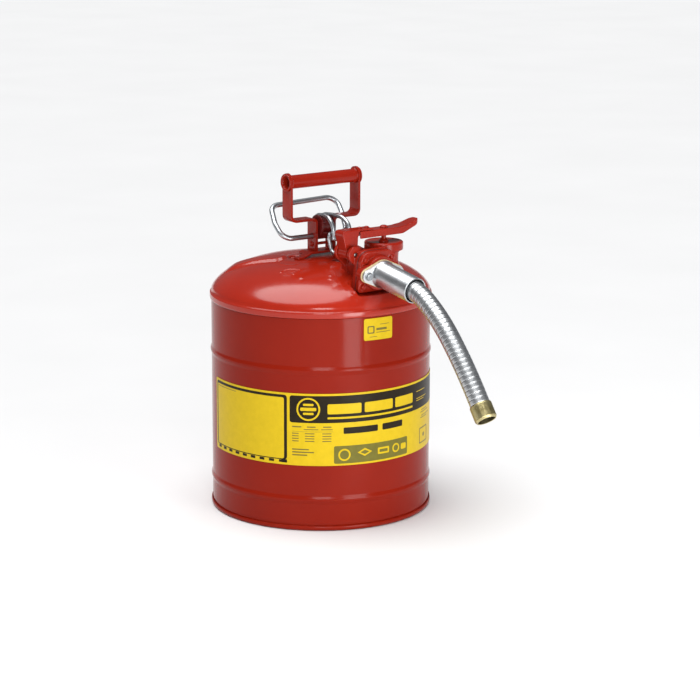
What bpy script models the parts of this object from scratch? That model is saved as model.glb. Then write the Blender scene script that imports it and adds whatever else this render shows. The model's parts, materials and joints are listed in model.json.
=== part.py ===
"""Safety gas can: a 5 gallon steel can with a fixed carrying handle, a squeeze trigger that opens
the pour valve through a wire pull link, a spring-closed fill lid and a flexible pouring hose.

Frame: the origin is the centre of the can's foot ring, +Z is up, the spout pours towards -Y and the
handle bar lies along X. Every length below is in millimetres and is scaled to metres by MM.
"""

import math

import bmesh
import bpy
import numpy as np
from mathutils import Matrix, Vector

MM = 0.001

# ---------------------------------------------------------------- driving dimensions (mm)
BODY_R = 147.0            # outside of the can's wall
WALL = 1.2                # sheet thickness of wall, dome and bottom
SEAM_R = 149.0            # outside of the rolled seams
SEAM_Z = 283.6            # underside of the top seam
DOME_Z, DOME_H = 294.2, 46.0   # springing height of the dome and its rise
DOME_P, DOME_Q = 2.58, 1.61    # shape of the dome's curve
DOME_R = 147.2
BEAD_Z = (214.5, 41.2)    # heights of the two stiffening beads
BEAD_H, BEAD_OUT = 5.6, 1.5
STEPS = 60                # facets round the can

LABEL_Z = (88.2, 184.8)   # the wrap-round label
LABEL_A = (-105.0, 75.0)  # its ends, degrees from the pour direction, + towards +X
SMALL_LABEL_Z = (252.6, 281.4)
SMALL_LABEL_A = (-12.8, 3.9)

BAR_Z = 442.8             # carrying bar
BAR_R = 9.0
STRAP_Y = -2.2            # centre of the two straps that hold the bar
STRAP_W, STRAP_T = 20.4, 3.0
STRAP_X = 54.7            # upper part of each strap
LEG_X = 14.5              # lower part of each strap
JOG_Z = 391.0             # where the strap steps inwards
STRAP_TOP = 455.0
BRACKET_Z = 346.5         # bridge that the legs stand on
BRACKET_W = 24.0

PIVOT_Y, PIVOT_Z = -2.5, 367.5   # trigger axis, along X
TRIGGER_TILT = 50.0       # the trigger loop leans back from upright
TRIGGER_R = 3.1
CAM_Y, CAM_Z, CAM_R = -6.0, 381.5, 14.3
CAM_CORE_R = 10.2
BAIL_R = 2.9
HOOK_R = 2.1
PIN_Y, PIN_Z = -44.5, 350.5      # where the pull link takes the valve stem's clevis

POUR_Y, POUR_Z = -128.2, 338.0   # centre of the pour flange's front face
POUR_DIP = 8.5            # the pour axis dips this much below level, degrees
ADAPTER_R, ADAPTER_BORE = 17.0, 15.3
ADAPTER_END = 82.0        # from the pour flange to the adapter's mouth
HOSE_R = 13.0
TIP_LENGTH = 22.0

NECK_X, NECK_Y = 32.0, -98.0     # fill neck
LID_R, LID_Z0, LID_Z1 = 25.7, 361.6, 368.6
HINGE_X, HINGE_Z = -26.6, 360.6  # lid hinge axis, along Y
EAR_R = 10.8
GAP = 0.3

# ---------------------------------------------------------------- scene and helpers
for old in list(bpy.data.objects):
    bpy.data.objects.remove(old, do_unlink=True)

PARTS = bpy.data.collections.new("safety_gas_can")
CUTTERS = bpy.data.collections.new("cutters")
bpy.context.scene.collection.children.link(PARTS)
bpy.context.scene.collection.children.link(CUTTERS)


def material(name, colour, roughness, metallic):
    made = bpy.data.materials.new(name)
    made.use_nodes = True
    shader = made.node_tree.nodes["Principled BSDF"]
    shader.inputs["Base Color"].default_value = (*colour, 1.0)
    shader.inputs["Roughness"].default_value = roughness
    shader.inputs["Metallic"].default_value = metallic
    made.diffuse_color = (*colour, 1.0)
    return made


RED = (0.46, 0.022, 0.012)
DARK_RED = (0.20, 0.012, 0.010)
ZINC = (0.62, 0.64, 0.66)
STEEL = (0.52, 0.53, 0.54)
BRASS = (0.62, 0.42, 0.14)
YELLOW = (0.80, 0.52, 0.02)
CORK = (0.62, 0.52, 0.32)
BLACK = (0.02, 0.02, 0.02)


def paint(name):
    return material(name + "_paint", RED, 0.28, 0.0)


def put(name, data, mat, cutter=False):
    made = bpy.data.objects.new(name, data)
    (CUTTERS if cutter else PARTS).objects.link(made)
    if cutter:
        made.hide_render = True
        made.display_type = "WIRE"
    elif mat is not None:
        data.materials.append(mat)
    return made


def smooth(obj, angle=35.0):
    obj.data.shade_smooth()
    obj.data.set_sharp_from_angle(angle=math.radians(angle))


def mesh_of(name, bm):
    data = bpy.data.meshes.new(name)
    bm.to_mesh(data)
    bm.free()
    return data


def turned(name, profile, mat=None, steps=32, loc=(0, 0, 0), rot=(0, 0, 0), cutter=False):
    """A Screw modifier turns (radius, height) points about local Z. A profile that runs down the
    outer side closes at the axis or back on itself."""
    bm = bmesh.new()
    points = [bm.verts.new((r * MM, 0.0, z * MM)) for r, z in profile]
    for a, b in zip(points, points[1:]):
        bm.edges.new((a, b))
    if profile[0][0] > 0.0:
        bm.edges.new((points[-1], points[0]))
    made = put(name, mesh_of(name, bm), mat, cutter)
    screw = made.modifiers.new("Screw", "SCREW")
    screw.axis = "Z"
    screw.steps = screw.render_steps = steps
    screw.use_merge_vertices = True
    screw.merge_threshold = 1e-6
    screw.use_smooth_shade = True
    made.location = [v * MM for v in loc]
    made.rotation_euler = rot
    return made


def cylinder(name, radius, z0, z1, steps=24, loc=(0, 0, 0), rot=(0, 0, 0), mat=None, cutter=True, twist=0.0):
    bm = bmesh.new()
    bmesh.ops.create_cone(bm, cap_ends=True, cap_tris=False, segments=steps, radius1=radius * MM,
                          radius2=radius * MM, depth=(z1 - z0) * MM,
                          matrix=Matrix.Translation((0, 0, (z0 + z1) / 2 * MM)) @ Matrix.Rotation(twist, 4, "Z"))
    made = put(name, mesh_of(name, bm), mat, cutter)
    made.location = [v * MM for v in loc]
    made.rotation_euler = rot
    return made


def block(name, low, high, mat=None, bevel=0.0, cutter=False, loc=(0, 0, 0), rot=(0, 0, 0)):
    low, high = np.array(low, float), np.array(high, float)
    bm = bmesh.new()
    bmesh.ops.create_cube(bm, size=1.0)
    bmesh.ops.scale(bm, vec=(high - low) * MM, verts=bm.verts)
    bmesh.ops.translate(bm, vec=(high + low) / 2 * MM, verts=bm.verts)
    made = put(name, mesh_of(name, bm), mat, cutter)
    made.location = [v * MM for v in loc]
    made.rotation_euler = rot
    if bevel:
        edge = made.modifiers.new("Bevel", "BEVEL")
        edge.width, edge.segments = bevel * MM, 2
    return made


def plate(name, outlines, z0, z1, mat=None, loc=(0, 0, 0), rot=(0, 0, 0), cutter=False):
    """A flat outline with its holes, a filled 2D curve extruded from z0 to z1, made a mesh."""
    curve = bpy.data.curves.new(name, "CURVE")
    curve.dimensions = "2D"
    curve.fill_mode = "BOTH"
    curve.extrude = (z1 - z0) / 2 * MM
    for outline in outlines:
        spline = curve.splines.new("POLY")
        spline.points.add(len(outline) - 1)
        for point, (x, y) in zip(spline.points, outline):
            point.co = (x * MM, y * MM, 0.0, 1.0)
        spline.use_cyclic_u = True
    flat = bpy.data.objects.new(name + "_outline", curve)
    PARTS.objects.link(flat)
    data = to_mesh(flat, name)
    data.transform(Matrix.Translation((0, 0, (z0 + z1) / 2 * MM)))
    made = put(name, data, mat, cutter)
    made.location = [v * MM for v in loc]
    made.rotation_euler = rot
    return made


def to_mesh(curve_object, name):
    """The curve's evaluated mesh with its caps welded on; the curve itself is removed."""
    bpy.context.view_layer.update()
    graph = bpy.context.evaluated_depsgraph_get()
    data = bpy.data.meshes.new_from_object(curve_object.evaluated_get(graph))
    data.name = name
    bm = bmesh.new()
    bm.from_mesh(data)
    bmesh.ops.remove_doubles(bm, verts=bm.verts, dist=1e-6)
    bmesh.ops.recalc_face_normals(bm, faces=bm.faces)
    bm.to_mesh(data)
    bm.free()
    data.materials.clear()
    bpy.data.objects.remove(curve_object, do_unlink=True)
    return data


def wire(name, points, radius, mat, resolution=2, cyclic=False):
    """A round bar bent along the points: a POLY curve with a bevel and filled ends."""
    curve = bpy.data.curves.new(name, "CURVE")
    curve.dimensions = "3D"
    curve.bevel_depth = radius * MM
    curve.bevel_resolution = resolution
    curve.use_fill_caps = not cyclic
    spline = curve.splines.new("POLY")
    spline.points.add(len(points) - 1)
    for point, at in zip(spline.points, points):
        point.co = (*(np.asarray(at, float) * MM), 1.0)
    spline.use_cyclic_u = cyclic
    spline.use_smooth = True
    return put(name, curve, mat)


def strip(name, path, thickness, width, y, mat):
    """A bent flat bar: its centre line in the XZ plane, drawn out along Y and thickened."""
    bm = bmesh.new()
    line = [bm.verts.new((px * MM, (y - width / 2) * MM, pz * MM)) for px, pz in path]
    edges = [bm.edges.new(pair) for pair in zip(line, line[1:])]
    out = bmesh.ops.extrude_edge_only(bm, edges=edges)
    moved = [v for v in out["geom"] if isinstance(v, bmesh.types.BMVert)]
    bmesh.ops.translate(bm, vec=(0, width * MM, 0), verts=moved)
    made = put(name, mesh_of(name, bm), mat)
    solid = made.modifiers.new("Solidify", "SOLIDIFY")
    solid.thickness = thickness * MM
    solid.offset = 0.0
    solid.use_even_offset = True
    return made


def sheet_round(name, radius, thickness, angles, heights, segments, mat):
    """A thin sheet bent round the can's axis; angles are measured from -Y towards +X."""
    bm = bmesh.new()
    bmesh.ops.create_grid(bm, x_segments=segments, y_segments=1, size=0.5)
    for vert in bm.verts:
        a = math.radians(angles[0] + (vert.co.x + 0.5) * (angles[1] - angles[0]))
        z = heights[0] + (vert.co.y + 0.5) * (heights[1] - heights[0])
        vert.co = (radius * math.sin(a) * MM, -radius * math.cos(a) * MM, z * MM)
    made = put(name, mesh_of(name, bm), mat)
    solid = made.modifiers.new("Solidify", "SOLIDIFY")
    solid.thickness = thickness * MM
    solid.offset = 1.0
    return made


def cut(obj, cutter, operation="DIFFERENCE"):
    boolean = obj.modifiers.new(operation.title() + "_" + cutter.name, "BOOLEAN")
    boolean.operation = operation
    boolean.solver = "EXACT"
    boolean.object = cutter
    return obj


def circle(cx, cy, radius, steps=20, start=0.0, end=360.0):
    full = abs(end - start) >= 360.0
    count = steps if full else steps + 1
    return [(cx + radius * math.cos(math.radians(start + (end - start) * i / steps)),
             cy + radius * math.sin(math.radians(start + (end - start) * i / steps))) for i in range(count)]


def fillet(corners, radii, steps=5, closed=False):
    """A path of straight runs whose corners are rounded; works in 2D and 3D."""
    corners = [np.asarray(c, float) for c in corners]
    count = len(corners)
    path = []
    for i, corner in enumerate(corners):
        radius = radii[i] if hasattr(radii, "__len__") else radii
        if not closed and i in (0, count - 1) or radius <= 0:
            path.append(corner)
            continue
        a, b = corners[i - 1] - corner, corners[(i + 1) % count] - corner
        a, b = a / np.linalg.norm(a), b / np.linalg.norm(b)
        half = math.acos(max(-1.0, min(1.0, float(a @ b)))) / 2
        reach = radius / math.tan(half)
        centre = corner + (a + b) / np.linalg.norm(a + b) * radius / math.sin(half)
        first, last = corner + a * reach - centre, corner + b * reach - centre
        turn = math.pi - 2 * half
        for k in range(steps + 1):
            w = k / steps
            path.append(centre + (math.sin((1 - w) * turn) * first + math.sin(w * turn) * last) / math.sin(turn))
    return path


def rounded_rectangle(width, height, radius, steps=5):
    w, h = width / 2, height / 2
    return [tuple(p) for p in fillet([(-w, -h), (w, -h), (w, h), (-w, h)], radius, steps, closed=True)]


def spline_through(points, step):
    """A smooth curve through the points, sampled about every step."""
    p = np.asarray(points, float)
    knots = np.r_[0.0, np.cumsum(np.sqrt(np.linalg.norm(np.diff(p, axis=0), axis=1)))]
    ends = np.vstack([2 * p[0] - p[1], p, 2 * p[-1] - p[-2]])
    t = np.r_[2 * knots[0] - knots[1], knots, 2 * knots[-1] - knots[-2]]
    out = [p[0]]
    for i in range(1, len(p)):
        p0, p1, p2, p3 = ends[i - 1], ends[i], ends[i + 1], ends[i + 2]
        t0, t1, t2, t3 = t[i - 1], t[i], t[i + 1], t[i + 2]
        count = max(1, int(round(np.linalg.norm(p2 - p1) / step)))
        for k in range(1, count + 1):
            s = t1 + (t2 - t1) * k / count
            a1 = (t1 - s) / (t1 - t0) * p0 + (s - t0) / (t1 - t0) * p1
            a2 = (t2 - s) / (t2 - t1) * p1 + (s - t1) / (t2 - t1) * p2
            a3 = (t3 - s) / (t3 - t2) * p2 + (s - t2) / (t3 - t2) * p3
            b1 = (t2 - s) / (t2 - t0) * a1 + (s - t0) / (t2 - t0) * a2
            b2 = (t3 - s) / (t3 - t1) * a2 + (s - t1) / (t3 - t1) * a3
            out.append((t2 - s) / (t2 - t1) * b1 + (s - t1) / (t2 - t1) * b2)
    return out


def dome_height(r):
    return DOME_Z + DOME_H * max(0.0, 1.0 - (r / DOME_R) ** DOME_P) ** (1.0 / DOME_Q)


def joint_empty(name, loc, rot=(0, 0, 0)):
    made = bpy.data.objects.new(name, None)
    made.location = [v * MM for v in loc]
    made.rotation_euler = rot
    PARTS.objects.link(made)
    return made


def ride(empty, *objects):
    rest = Matrix.LocRotScale(empty.location, empty.rotation_euler, None)
    for obj in objects:
        obj.parent = empty
        obj.matrix_parent_inverse = rest.inverted()


def hull2(circles, steps=28):
    """The outline round several circles (x, y, r): the convex hull of their points."""
    points = sorted({(round(x, 5), round(y, 5)) for cx, cy, r in circles for x, y in circle(cx, cy, r, steps)})

    def half(seq):
        out = []
        for p in seq:
            while len(out) > 1 and ((out[-1][0] - out[-2][0]) * (p[1] - out[-2][1])
                                    - (out[-1][1] - out[-2][1]) * (p[0] - out[-2][0])) <= 1e-9:
                out.pop()
            out.append(p)
        return out[:-1]

    return half(points) + half(points[::-1])


POUR = math.radians(POUR_DIP)
POUR_ROT = (math.pi / 2 + POUR, 0, 0)      # local Z points out of the spout, local Y up
POUR_AT = (0, POUR_Y, POUR_Z)
SIDE_ROT = (math.pi / 2, 0, 0)             # plate drawn in XZ; local Z points to -Y
YZ_ROT = (math.pi / 2, 0, math.pi / 2)     # plate drawn in YZ; local Z points to +X
X_ROT = (0, math.pi / 2, 0)                # local Z points to +X


def on_pour_axis(back):
    """The point of the pour axis this far behind the pour flange's face."""
    return np.array([0.0, POUR_Y + back * math.cos(POUR), POUR_Z + back * math.sin(POUR)])


# ---------------------------------------------------------------- can: wall, dome, bottom
def bead(zc, radius, sign):
    rows = []
    for k in range(5):
        w = -1 + 2 * k / 4
        rows.append((radius + BEAD_OUT * math.cos(w * math.pi / 2) ** 1.3 if abs(w) < 1 else radius, zc - sign * w * BEAD_H))
    return rows


wall_out = [(BODY_R, SEAM_Z - 0.5)] + bead(BEAD_Z[0], BODY_R, 1) + bead(BEAD_Z[1], BODY_R, 1) + [(BODY_R, 3.0)]
inside = BODY_R - WALL
wall_in = [(inside, 3.0)] + bead(BEAD_Z[1], inside, -1) + bead(BEAD_Z[0], inside, -1) + [(inside, SEAM_Z - 0.5)]
body_shell = turned("body_shell", wall_out + wall_in, paint("body_shell"), STEPS)

dome_rows = [0.0, 30.0, 56.0, 78.0, 97.0, 112.0, 124.0, 133.0, 139.5, 143.8, 146.2]
outer = [(r, dome_height(r)) for r in dome_rows]
inner = [(r, dome_height(r) - WALL) for r in dome_rows[:-2]] + [(143.3, dome_height(143.3) - 2.2), (145.2, 294.0)]
seam = [(146.9, 292.6), (148.3, 292.2), (SEAM_R, 290.8), (SEAM_R, 285.2), (148.4, SEAM_Z), (145.3, SEAM_Z)]
dome_top = turned("dome_top", outer + seam + inner[::-1], paint("dome_top"), STEPS)

bottom = [(0.0, 9.2), (145.3, 9.2), (145.3, 2.6), (147.5, 2.6), (147.5, 6.6), (148.4, 6.6), (SEAM_R, 5.8),
          (SEAM_R, 1.1), (148.0, 0.0), (144.4, 0.0), (143.4, 1.0), (143.4, 8.0), (0.0, 8.0)]
bottom_pan = turned("bottom_pan", bottom, paint("bottom_pan"), STEPS)

label_band = sheet_round("label_band", BODY_R + 0.35, 0.3, LABEL_A, LABEL_Z, 36,
                         material("label_print", YELLOW, 0.35, 0.0))
small_label = sheet_round("small_label", BODY_R + 0.35, 0.3, SMALL_LABEL_A, SMALL_LABEL_Z, 6,
                          material("small_label_print", YELLOW, 0.35, 0.0))

# A level pocket pressed into the dome's slope takes the lower half of the pour flange.
pocket = block("cut_pocket", (-31.0, -134.0, 309.5), (31.0, -111.0, 360.0), cutter=True)
pocket_wall = block("cut_pocket_wall", (-32.2, -135.2, 308.3), (32.2, -109.8, 340.0), cutter=True)
under_dome = turned("cut_under_dome", [(0.0, dome_height(0) - 0.05)] + [(r, dome_height(r) - 0.05) for r in dome_rows[1:]]
                    + [(146.2, 290.0), (0.0, 290.0)], None, STEPS, cutter=True)
cut(pocket_wall, under_dome, "INTERSECT")
cut(dome_top, pocket_wall, "UNION")
cut(dome_top, pocket)
for label, hx, hy, hr in (("fill_hole", NECK_X, NECK_Y, 19.0), ("pour_hole", 0.0, -92.0, 9.6)):
    cut(dome_top, cylinder("cut_" + label, hr, 300.0, 350.0, 28, (hx, hy, 0)))

dome_clear = turned("cut_dome_clearance",
                    [(0.0, dome_height(0) + 0.5)] + [(r, dome_height(r) + 0.5) for r in dome_rows[1:]]
                    + [(148.0, 294.0), (148.0, 250.0), (0.0, 250.0)], None, STEPS, cutter=True)
cut(dome_clear, pocket)

# ---------------------------------------------------------------- handle
handle_bracket = strip("handle_bracket",
                       fillet([(-46, dome_height(48) + 2.3), (-36, dome_height(38) + 2.4), (-24, BRACKET_Z), (24, BRACKET_Z),
                               (36, dome_height(38) + 2.4), (46, dome_height(48) + 2.3)], (0, 4, 4, 4, 4, 0), 3),
                       3.0, BRACKET_W, STRAP_Y, paint("handle_bracket"))

arch = ([(-20.0, -1.0), (-20.0, 20.0), (20.0, 20.0), (20.0, -1.0), (10.0, -1.0)]
        + circle(0, 0, 10.0, 12, 0, 180) + [(-10.0, -1.0)])
for side, sign in (("left", -1.0), ("right", 1.0)):
    path = fillet([(sign * LEG_X, BRACKET_Z + 1.8), (sign * LEG_X, JOG_Z), (sign * STRAP_X, JOG_Z),
                   (sign * STRAP_X, STRAP_TOP + 2)], (0, 5.0, 8.0, 0), 4)
    strap = strip("handle_strap_" + side, path if sign > 0 else path, STRAP_T, STRAP_W, STRAP_Y,
                  paint("handle_strap_" + side))
    at = (sign * STRAP_X, STRAP_Y, 0)
    cut(strap, plate("cut_strap_end_" + side, [arch], -6, 6, None, (sign * STRAP_X, STRAP_Y, STRAP_TOP - 10.0), YZ_ROT, True))
    cut(strap, cylinder("cut_bar_hole_" + side, BAR_R + GAP, -6, 6, 24, (sign * STRAP_X, STRAP_Y, BAR_Z), X_ROT))
    cut(strap, cylinder("cut_trigger_hole_" + side, TRIGGER_R + 0.4, -6, 6, 16, (sign * LEG_X, PIVOT_Y, PIVOT_Z), X_ROT))
    cut(strap, cylinder("cut_tie_hole_" + side, 2.3, -6, 6, 16, (sign * LEG_X, STRAP_Y, 356.5), X_ROT))

x0 = STRAP_X + STRAP_T / 2
grip_half = [(11.0, x0 + 2.2), (11.7, x0 + 1.6), (11.7, x0 + 0.8), (11.2, x0 + 0.35), (BAR_R, x0 + 0.3)]
grip_in = [(BAR_R - 1.5, x0 - 2.0), (BAR_R - 0.6, x0 + 0.6), (10.2, x0 + 2.2)]
grip_profile = (grip_half + [(r, -z) for r, z in grip_half[::-1]]
                + [(r, -z) for r, z in grip_in[::-1]] + grip_in)
handle_grip = turned("handle_grip", grip_profile, paint("handle_grip"), 24, (0, STRAP_Y, BAR_Z), X_ROT)

tie = LEG_X + STRAP_T / 2
leg_tie_rivet = turned("leg_tie_rivet",
                       [(0, tie + 2.2), (2.4, tie + 1.8), (3.5, tie + 0.3), (2.0, tie + 0.3), (2.0, -tie - 0.3),
                        (3.5, -tie - 0.3), (2.4, -tie - 1.8), (0, -tie - 2.2)],
                       paint("leg_tie_rivet"), 16, (0, STRAP_Y, 356.5), X_ROT)

# ---------------------------------------------------------------- trigger and pull link
tilt = math.radians(TRIGGER_TILT)
loop = fillet([(-1.0, 0.0), (-61.5, 0.0), (-61.0, 28.0), (-52.0, 58.5), (56.0, 62.5), (51.0, 34.0), (41.0, 0.0), (1.0, 0.0)],
              (0, 12.0, 20.0, 9.0, 10.0, 20.0, 13.0, 0), 5)
trigger_points = [(x, PIVOT_Y + d * math.sin(tilt), PIVOT_Z + d * math.cos(tilt)) for x, d in loop]
trigger_wire = wire("trigger_wire", trigger_points, TRIGGER_R, material("trigger_zinc", ZINC, 0.25, 1.0))

cam_outline = hull2([(CAM_Y, CAM_Z, CAM_R), (PIVOT_Y, PIVOT_Z, 5.4)])
trigger_cam = plate("trigger_cam", [cam_outline, circle(PIVOT_Y, PIVOT_Z, TRIGGER_R + GAP, 16)], -10.6, 10.6,
                    material("cam_paint", DARK_RED, 0.4, 0.0), (0, 0, 0), YZ_ROT)
groove = turned("cut_cam_groove", [(CAM_R + 4, 8.4), (CAM_R + 4, -8.4), (CAM_CORE_R, -8.4), (CAM_CORE_R, 8.4)], None, 28,
                (0, CAM_Y, CAM_Z), X_ROT, True)
keep = plate("cut_cam_keep", [hull2([(CAM_Y + 1.5, CAM_Z - 10.0, 5.0), (PIVOT_Y, PIVOT_Z, 5.0)], 16)], -12, 12,
             None, (0, 0, 0), YZ_ROT, True)
cut(groove, keep)
cut(trigger_cam, groove)

wrap_r = CAM_CORE_R + 0.4 + BAIL_R


def on_wrap(x, angle):
    a = math.radians(angle)
    return (x, CAM_Y + wrap_r * math.cos(a), CAM_Z + wrap_r * math.sin(a))


turn_at = np.array(on_wrap(0, 30.0))
turn_dir = np.array([0.0, math.sin(math.radians(30.0)), -math.cos(math.radians(30.0))])
near = [on_wrap(-5.0, a) for a in (95.0, 80.0, 65.0, 50.0)]
back = [tuple(turn_at + turn_dir * 5.0 * math.sin(b) + np.array([-5.0 * math.cos(b), 0, 0]))
        for b in (math.pi * k / 8 for k in range(9))]
far = [on_wrap(5.0, a) for a in (50.0, 65.0, 80.0)]
near_run = spline_through([(-5.0, -36.6, 364.8), (-5.0, -37.2, 370.8), (-5.0, -36.9, 377.2), (-5.0, -35.1, 383.2), (-5.0, -31.2, 389.2),
                           (-5.0, -24.8, 393.9), (-5.0, -17.4, 395.9), (-5.0, -11.6, 395.9), on_wrap(-5.0, 95.0)], 4.0)[:-1]
far_run = spline_through([on_wrap(5.0, 80.0), (5.2, -13.4, 395.8), (6.6, -21.0, 396.0), (8.2, -29.0, 395.8), (9.6, -36.4, 394.4),
                          (10.4, -43.0, 391.0), (10.6, -48.4, 386.4), (10.6, -50.8, 380.8), (10.6, -50.8, 373.5), (10.6, -49.6, 365.4),
                          (10.6, -47.6, 357.4), (9.6, -45.6, 352.4), (7.2, -44.6, 350.7), (3.4, -44.5, 350.5)], 4.0)[1:]
pull_bail = wire("pull_bail", near_run + near + back + far + far_run, BAIL_R, material("bail_zinc", ZINC, 0.25, 1.0))

ring_tilt = math.radians(35.0)
ring = [(-5.0 + 6.3 * math.cos(math.radians(a)), -37.1 + 6.3 * math.sin(math.radians(a)) * math.cos(ring_tilt),
         371.2 + 6.3 * math.sin(math.radians(a)) * math.sin(ring_tilt)) for a in range(-140, 161, 20)]
shank = spline_through([ring[-1], (-11.0, -34.6, 369.6), (-10.8, -34.7, 366.4), (-10.4, -36.2, 360.4), (-10.0, -38.0, 355.0),
                        (-9.9, -41.4, 351.5), (-8.9, -43.7, 350.7), (-6.6, -44.4, 350.5), (-3.2, -44.5, 350.5)], 2.6)[1:]
hook_link = wire("hook_link", ring + shank, HOOK_R, material("hook_zinc", ZINC, 0.25, 1.0))

# ---------------------------------------------------------------- manifold
screw_at = [(-21.0, 17.2), (21.0, 17.2), (-21.4, -18.6), (21.4, -18.6)]
screw_holes = [circle(x, y, 2.3, 12) for x, y in screw_at]
flange_outline = [tuple(p) for p in fillet([(-28.5, -27.0), (28.5, -27.0), (28.5, 27.6), (-28.5, 27.6)], (5.0, 5.0, 15.0, 15.0), 6, closed=True)]
POUR_BORE = 13.0

manifold = plate("manifold", [flange_outline], -14.0, -8.1, paint("manifold"), POUR_AT, POUR_ROT)
chamber = cylinder("cut_chamber_body", 19.0, -56.0, -12.0, 32, POUR_AT, POUR_ROT)
cut(manifold, chamber, "UNION")
cut(manifold, block("cut_base_body", (-19.0, -112.0, 318.0), (19.0, -74.0, 344.0), cutter=True), "UNION")
for label, y0, y1 in (("front", -117.2, -112.2), ("rear", -87.8, -82.8)):
    ear = plate("cut_ear_" + label, [hull2([(HINGE_X, HINGE_Z, EAR_R), (-8.0, 348.0, 8.0), (-12.0, 340.0, 5.0)], 24)],
                -y1, -y0, None, (0, 0, 0), SIDE_ROT, True)
    cut(manifold, ear, "UNION")
    ear_hole = cylinder("cut_ear_hole_" + label, 2.7, -y1 - 1, -y0 + 1, 16, (HINGE_X, 0, HINGE_Z), SIDE_ROT)
    cut(manifold, ear_hole)
valve_bore = turned("cut_valve_bore", [(0, 1.0), (POUR_BORE + 0.5, 1.0), (POUR_BORE + 0.5, -20.0), (9.5, -20.0), (9.5, -47.0),
                                       (3.4, -47.0), (3.4, -60.0), (0, -60.0)], None, 28, POUR_AT, POUR_ROT, True)
cut(manifold, valve_bore)
for i, (x, y) in enumerate(screw_at):
    cut(manifold, cylinder(f"cut_manifold_screw_{i}", 2.3, -16.0, -6.0, 12,
                           tuple(np.array(POUR_AT) + np.array([x, -y * math.sin(POUR), y * math.cos(POUR)])), POUR_ROT))
cut(manifold, cylinder("cut_feed", 8.8, 300.0, 340.0, 24, (0, -92.0, 0)))
neck_room = cylinder("cut_neck_room", 21.4, 300.0, 400.0, 36, (NECK_X, NECK_Y, 0))
lid_room = cylinder("cut_lid_room", LID_R + 0.6, LID_Z0 - 1.2, 400.0, 36, (NECK_X, NECK_Y, 0))
for room in (neck_room, lid_room, dome_clear):
    cut(manifold, room)

flange_gasket = plate("flange_gasket", [flange_outline, circle(0, 0, POUR_BORE + 0.45, 28, 3.0, 363.0)] + screw_holes, -7.8, -6.3,
                      material("flange_gasket_fibre", BLACK, 0.8, 0.0), POUR_AT, POUR_ROT)
cut(flange_gasket, lid_room)

DIAMOND = hull2([(0, 0, 18.0), (-23.5, 0, 8.6), (23.5, 0, 8.6)], 40)
pour_flange = plate("pour_flange", [flange_outline, circle(0, 0, POUR_BORE - 1.0, 28, 3.0, 363.0)] + screw_holes, -6.0, 0.0,
                    paint("pour_flange"), POUR_AT, POUR_ROT)
boss = plate("cut_boss", [hull2([(0, 0, 22.6), (-23.5, 0, 9.3), (23.5, 0, 9.3)], 36)], -3.0, 8.0, None, POUR_AT, POUR_ROT, True)
cut(pour_flange, boss, "UNION")
cut(pour_flange, cylinder("cut_flange_bore", POUR_BORE, -8.0, 10.0, 28, POUR_AT, POUR_ROT))
for i, (x, y) in enumerate(screw_at):
    at = np.array(POUR_AT) + np.array([x, -y * math.sin(POUR), y * math.cos(POUR)])
    cut(pour_flange, cylinder(f"cut_flange_screw_{i}", 2.3, -8.0, 10.0, 12, tuple(at), POUR_ROT))
    cut(pour_flange, cylinder(f"cut_flange_head_{i}", 4.6, 0.2, 10.0, 12, tuple(at), POUR_ROT))
for i, x in enumerate((-23.5, 23.5)):
    cut(pour_flange, cylinder(f"cut_adapter_thread_{i}", 2.5, -4.0, 10.0, 12, (x, POUR_Y, POUR_Z), POUR_ROT))
cut(pour_flange, lid_room)

for i, (x, y) in enumerate(screw_at):
    at = np.array(POUR_AT) + np.array([x, -y * math.sin(POUR), y * math.cos(POUR)])
    turned(f"flange_screw_{i + 1}", [(0, 3.0), (1.8, 2.9), (3.1, 2.0), (3.5, 0.3), (2.0, 0.3), (2.0, -10.6), (0, -11.0)],
           paint(f"flange_screw_{i + 1}"), 12, tuple(at), POUR_ROT)

diamond_holes = [circle(-23.5, 0, 2.5, 12), circle(23.5, 0, 2.5, 12)]
adapter_gasket = plate("adapter_gasket", [hull2([(0, 0, 18.6), (-23.5, 0, 9.2), (23.5, 0, 9.2)], 40),
                                          circle(0, 0, POUR_BORE, 28, 3.0, 363.0)] + diamond_holes, 8.3, 9.8,
                       material("adapter_gasket_fibre", CORK, 0.8, 0.0), POUR_AT, POUR_ROT)
adapter = plate("hose_adapter", [DIAMOND, circle(0, 0, ADAPTER_BORE - 1.5, 32, 3.0, 363.0)] + diamond_holes, 10.1, 13.6,
                material("adapter_zinc", ZINC, 0.28, 1.0), POUR_AT, POUR_ROT)
cut(adapter, cylinder("cut_adapter_tube", ADAPTER_R, 11.0, ADAPTER_END, 36, POUR_AT, POUR_ROT), "UNION")
cut(adapter, cylinder("cut_adapter_bore", ADAPTER_BORE, 5.0, ADAPTER_END + 5.0, 36, POUR_AT, POUR_ROT))
for label, x in (("left", -23.5), ("right", 23.5)):
    turned("adapter_screw_" + label, [(0, 17.4), (3.2, 17.2), (4.0, 16.6), (4.0, 13.9), (2.2, 13.9), (2.2, -1.5), (0, -2.0)],
           material("adapter_screw_zinc_" + label, ZINC, 0.3, 1.0), 6, (x, POUR_Y, POUR_Z), POUR_ROT)

hose_bush = turned("hose_bush", [(15.0, 62.0), (15.0, 54.0), (10.0, 54.0), (10.0, 62.0)],
                   material("hose_bush_brass", BRASS, 0.35, 1.0), 28, POUR_AT, POUR_ROT)

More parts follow.
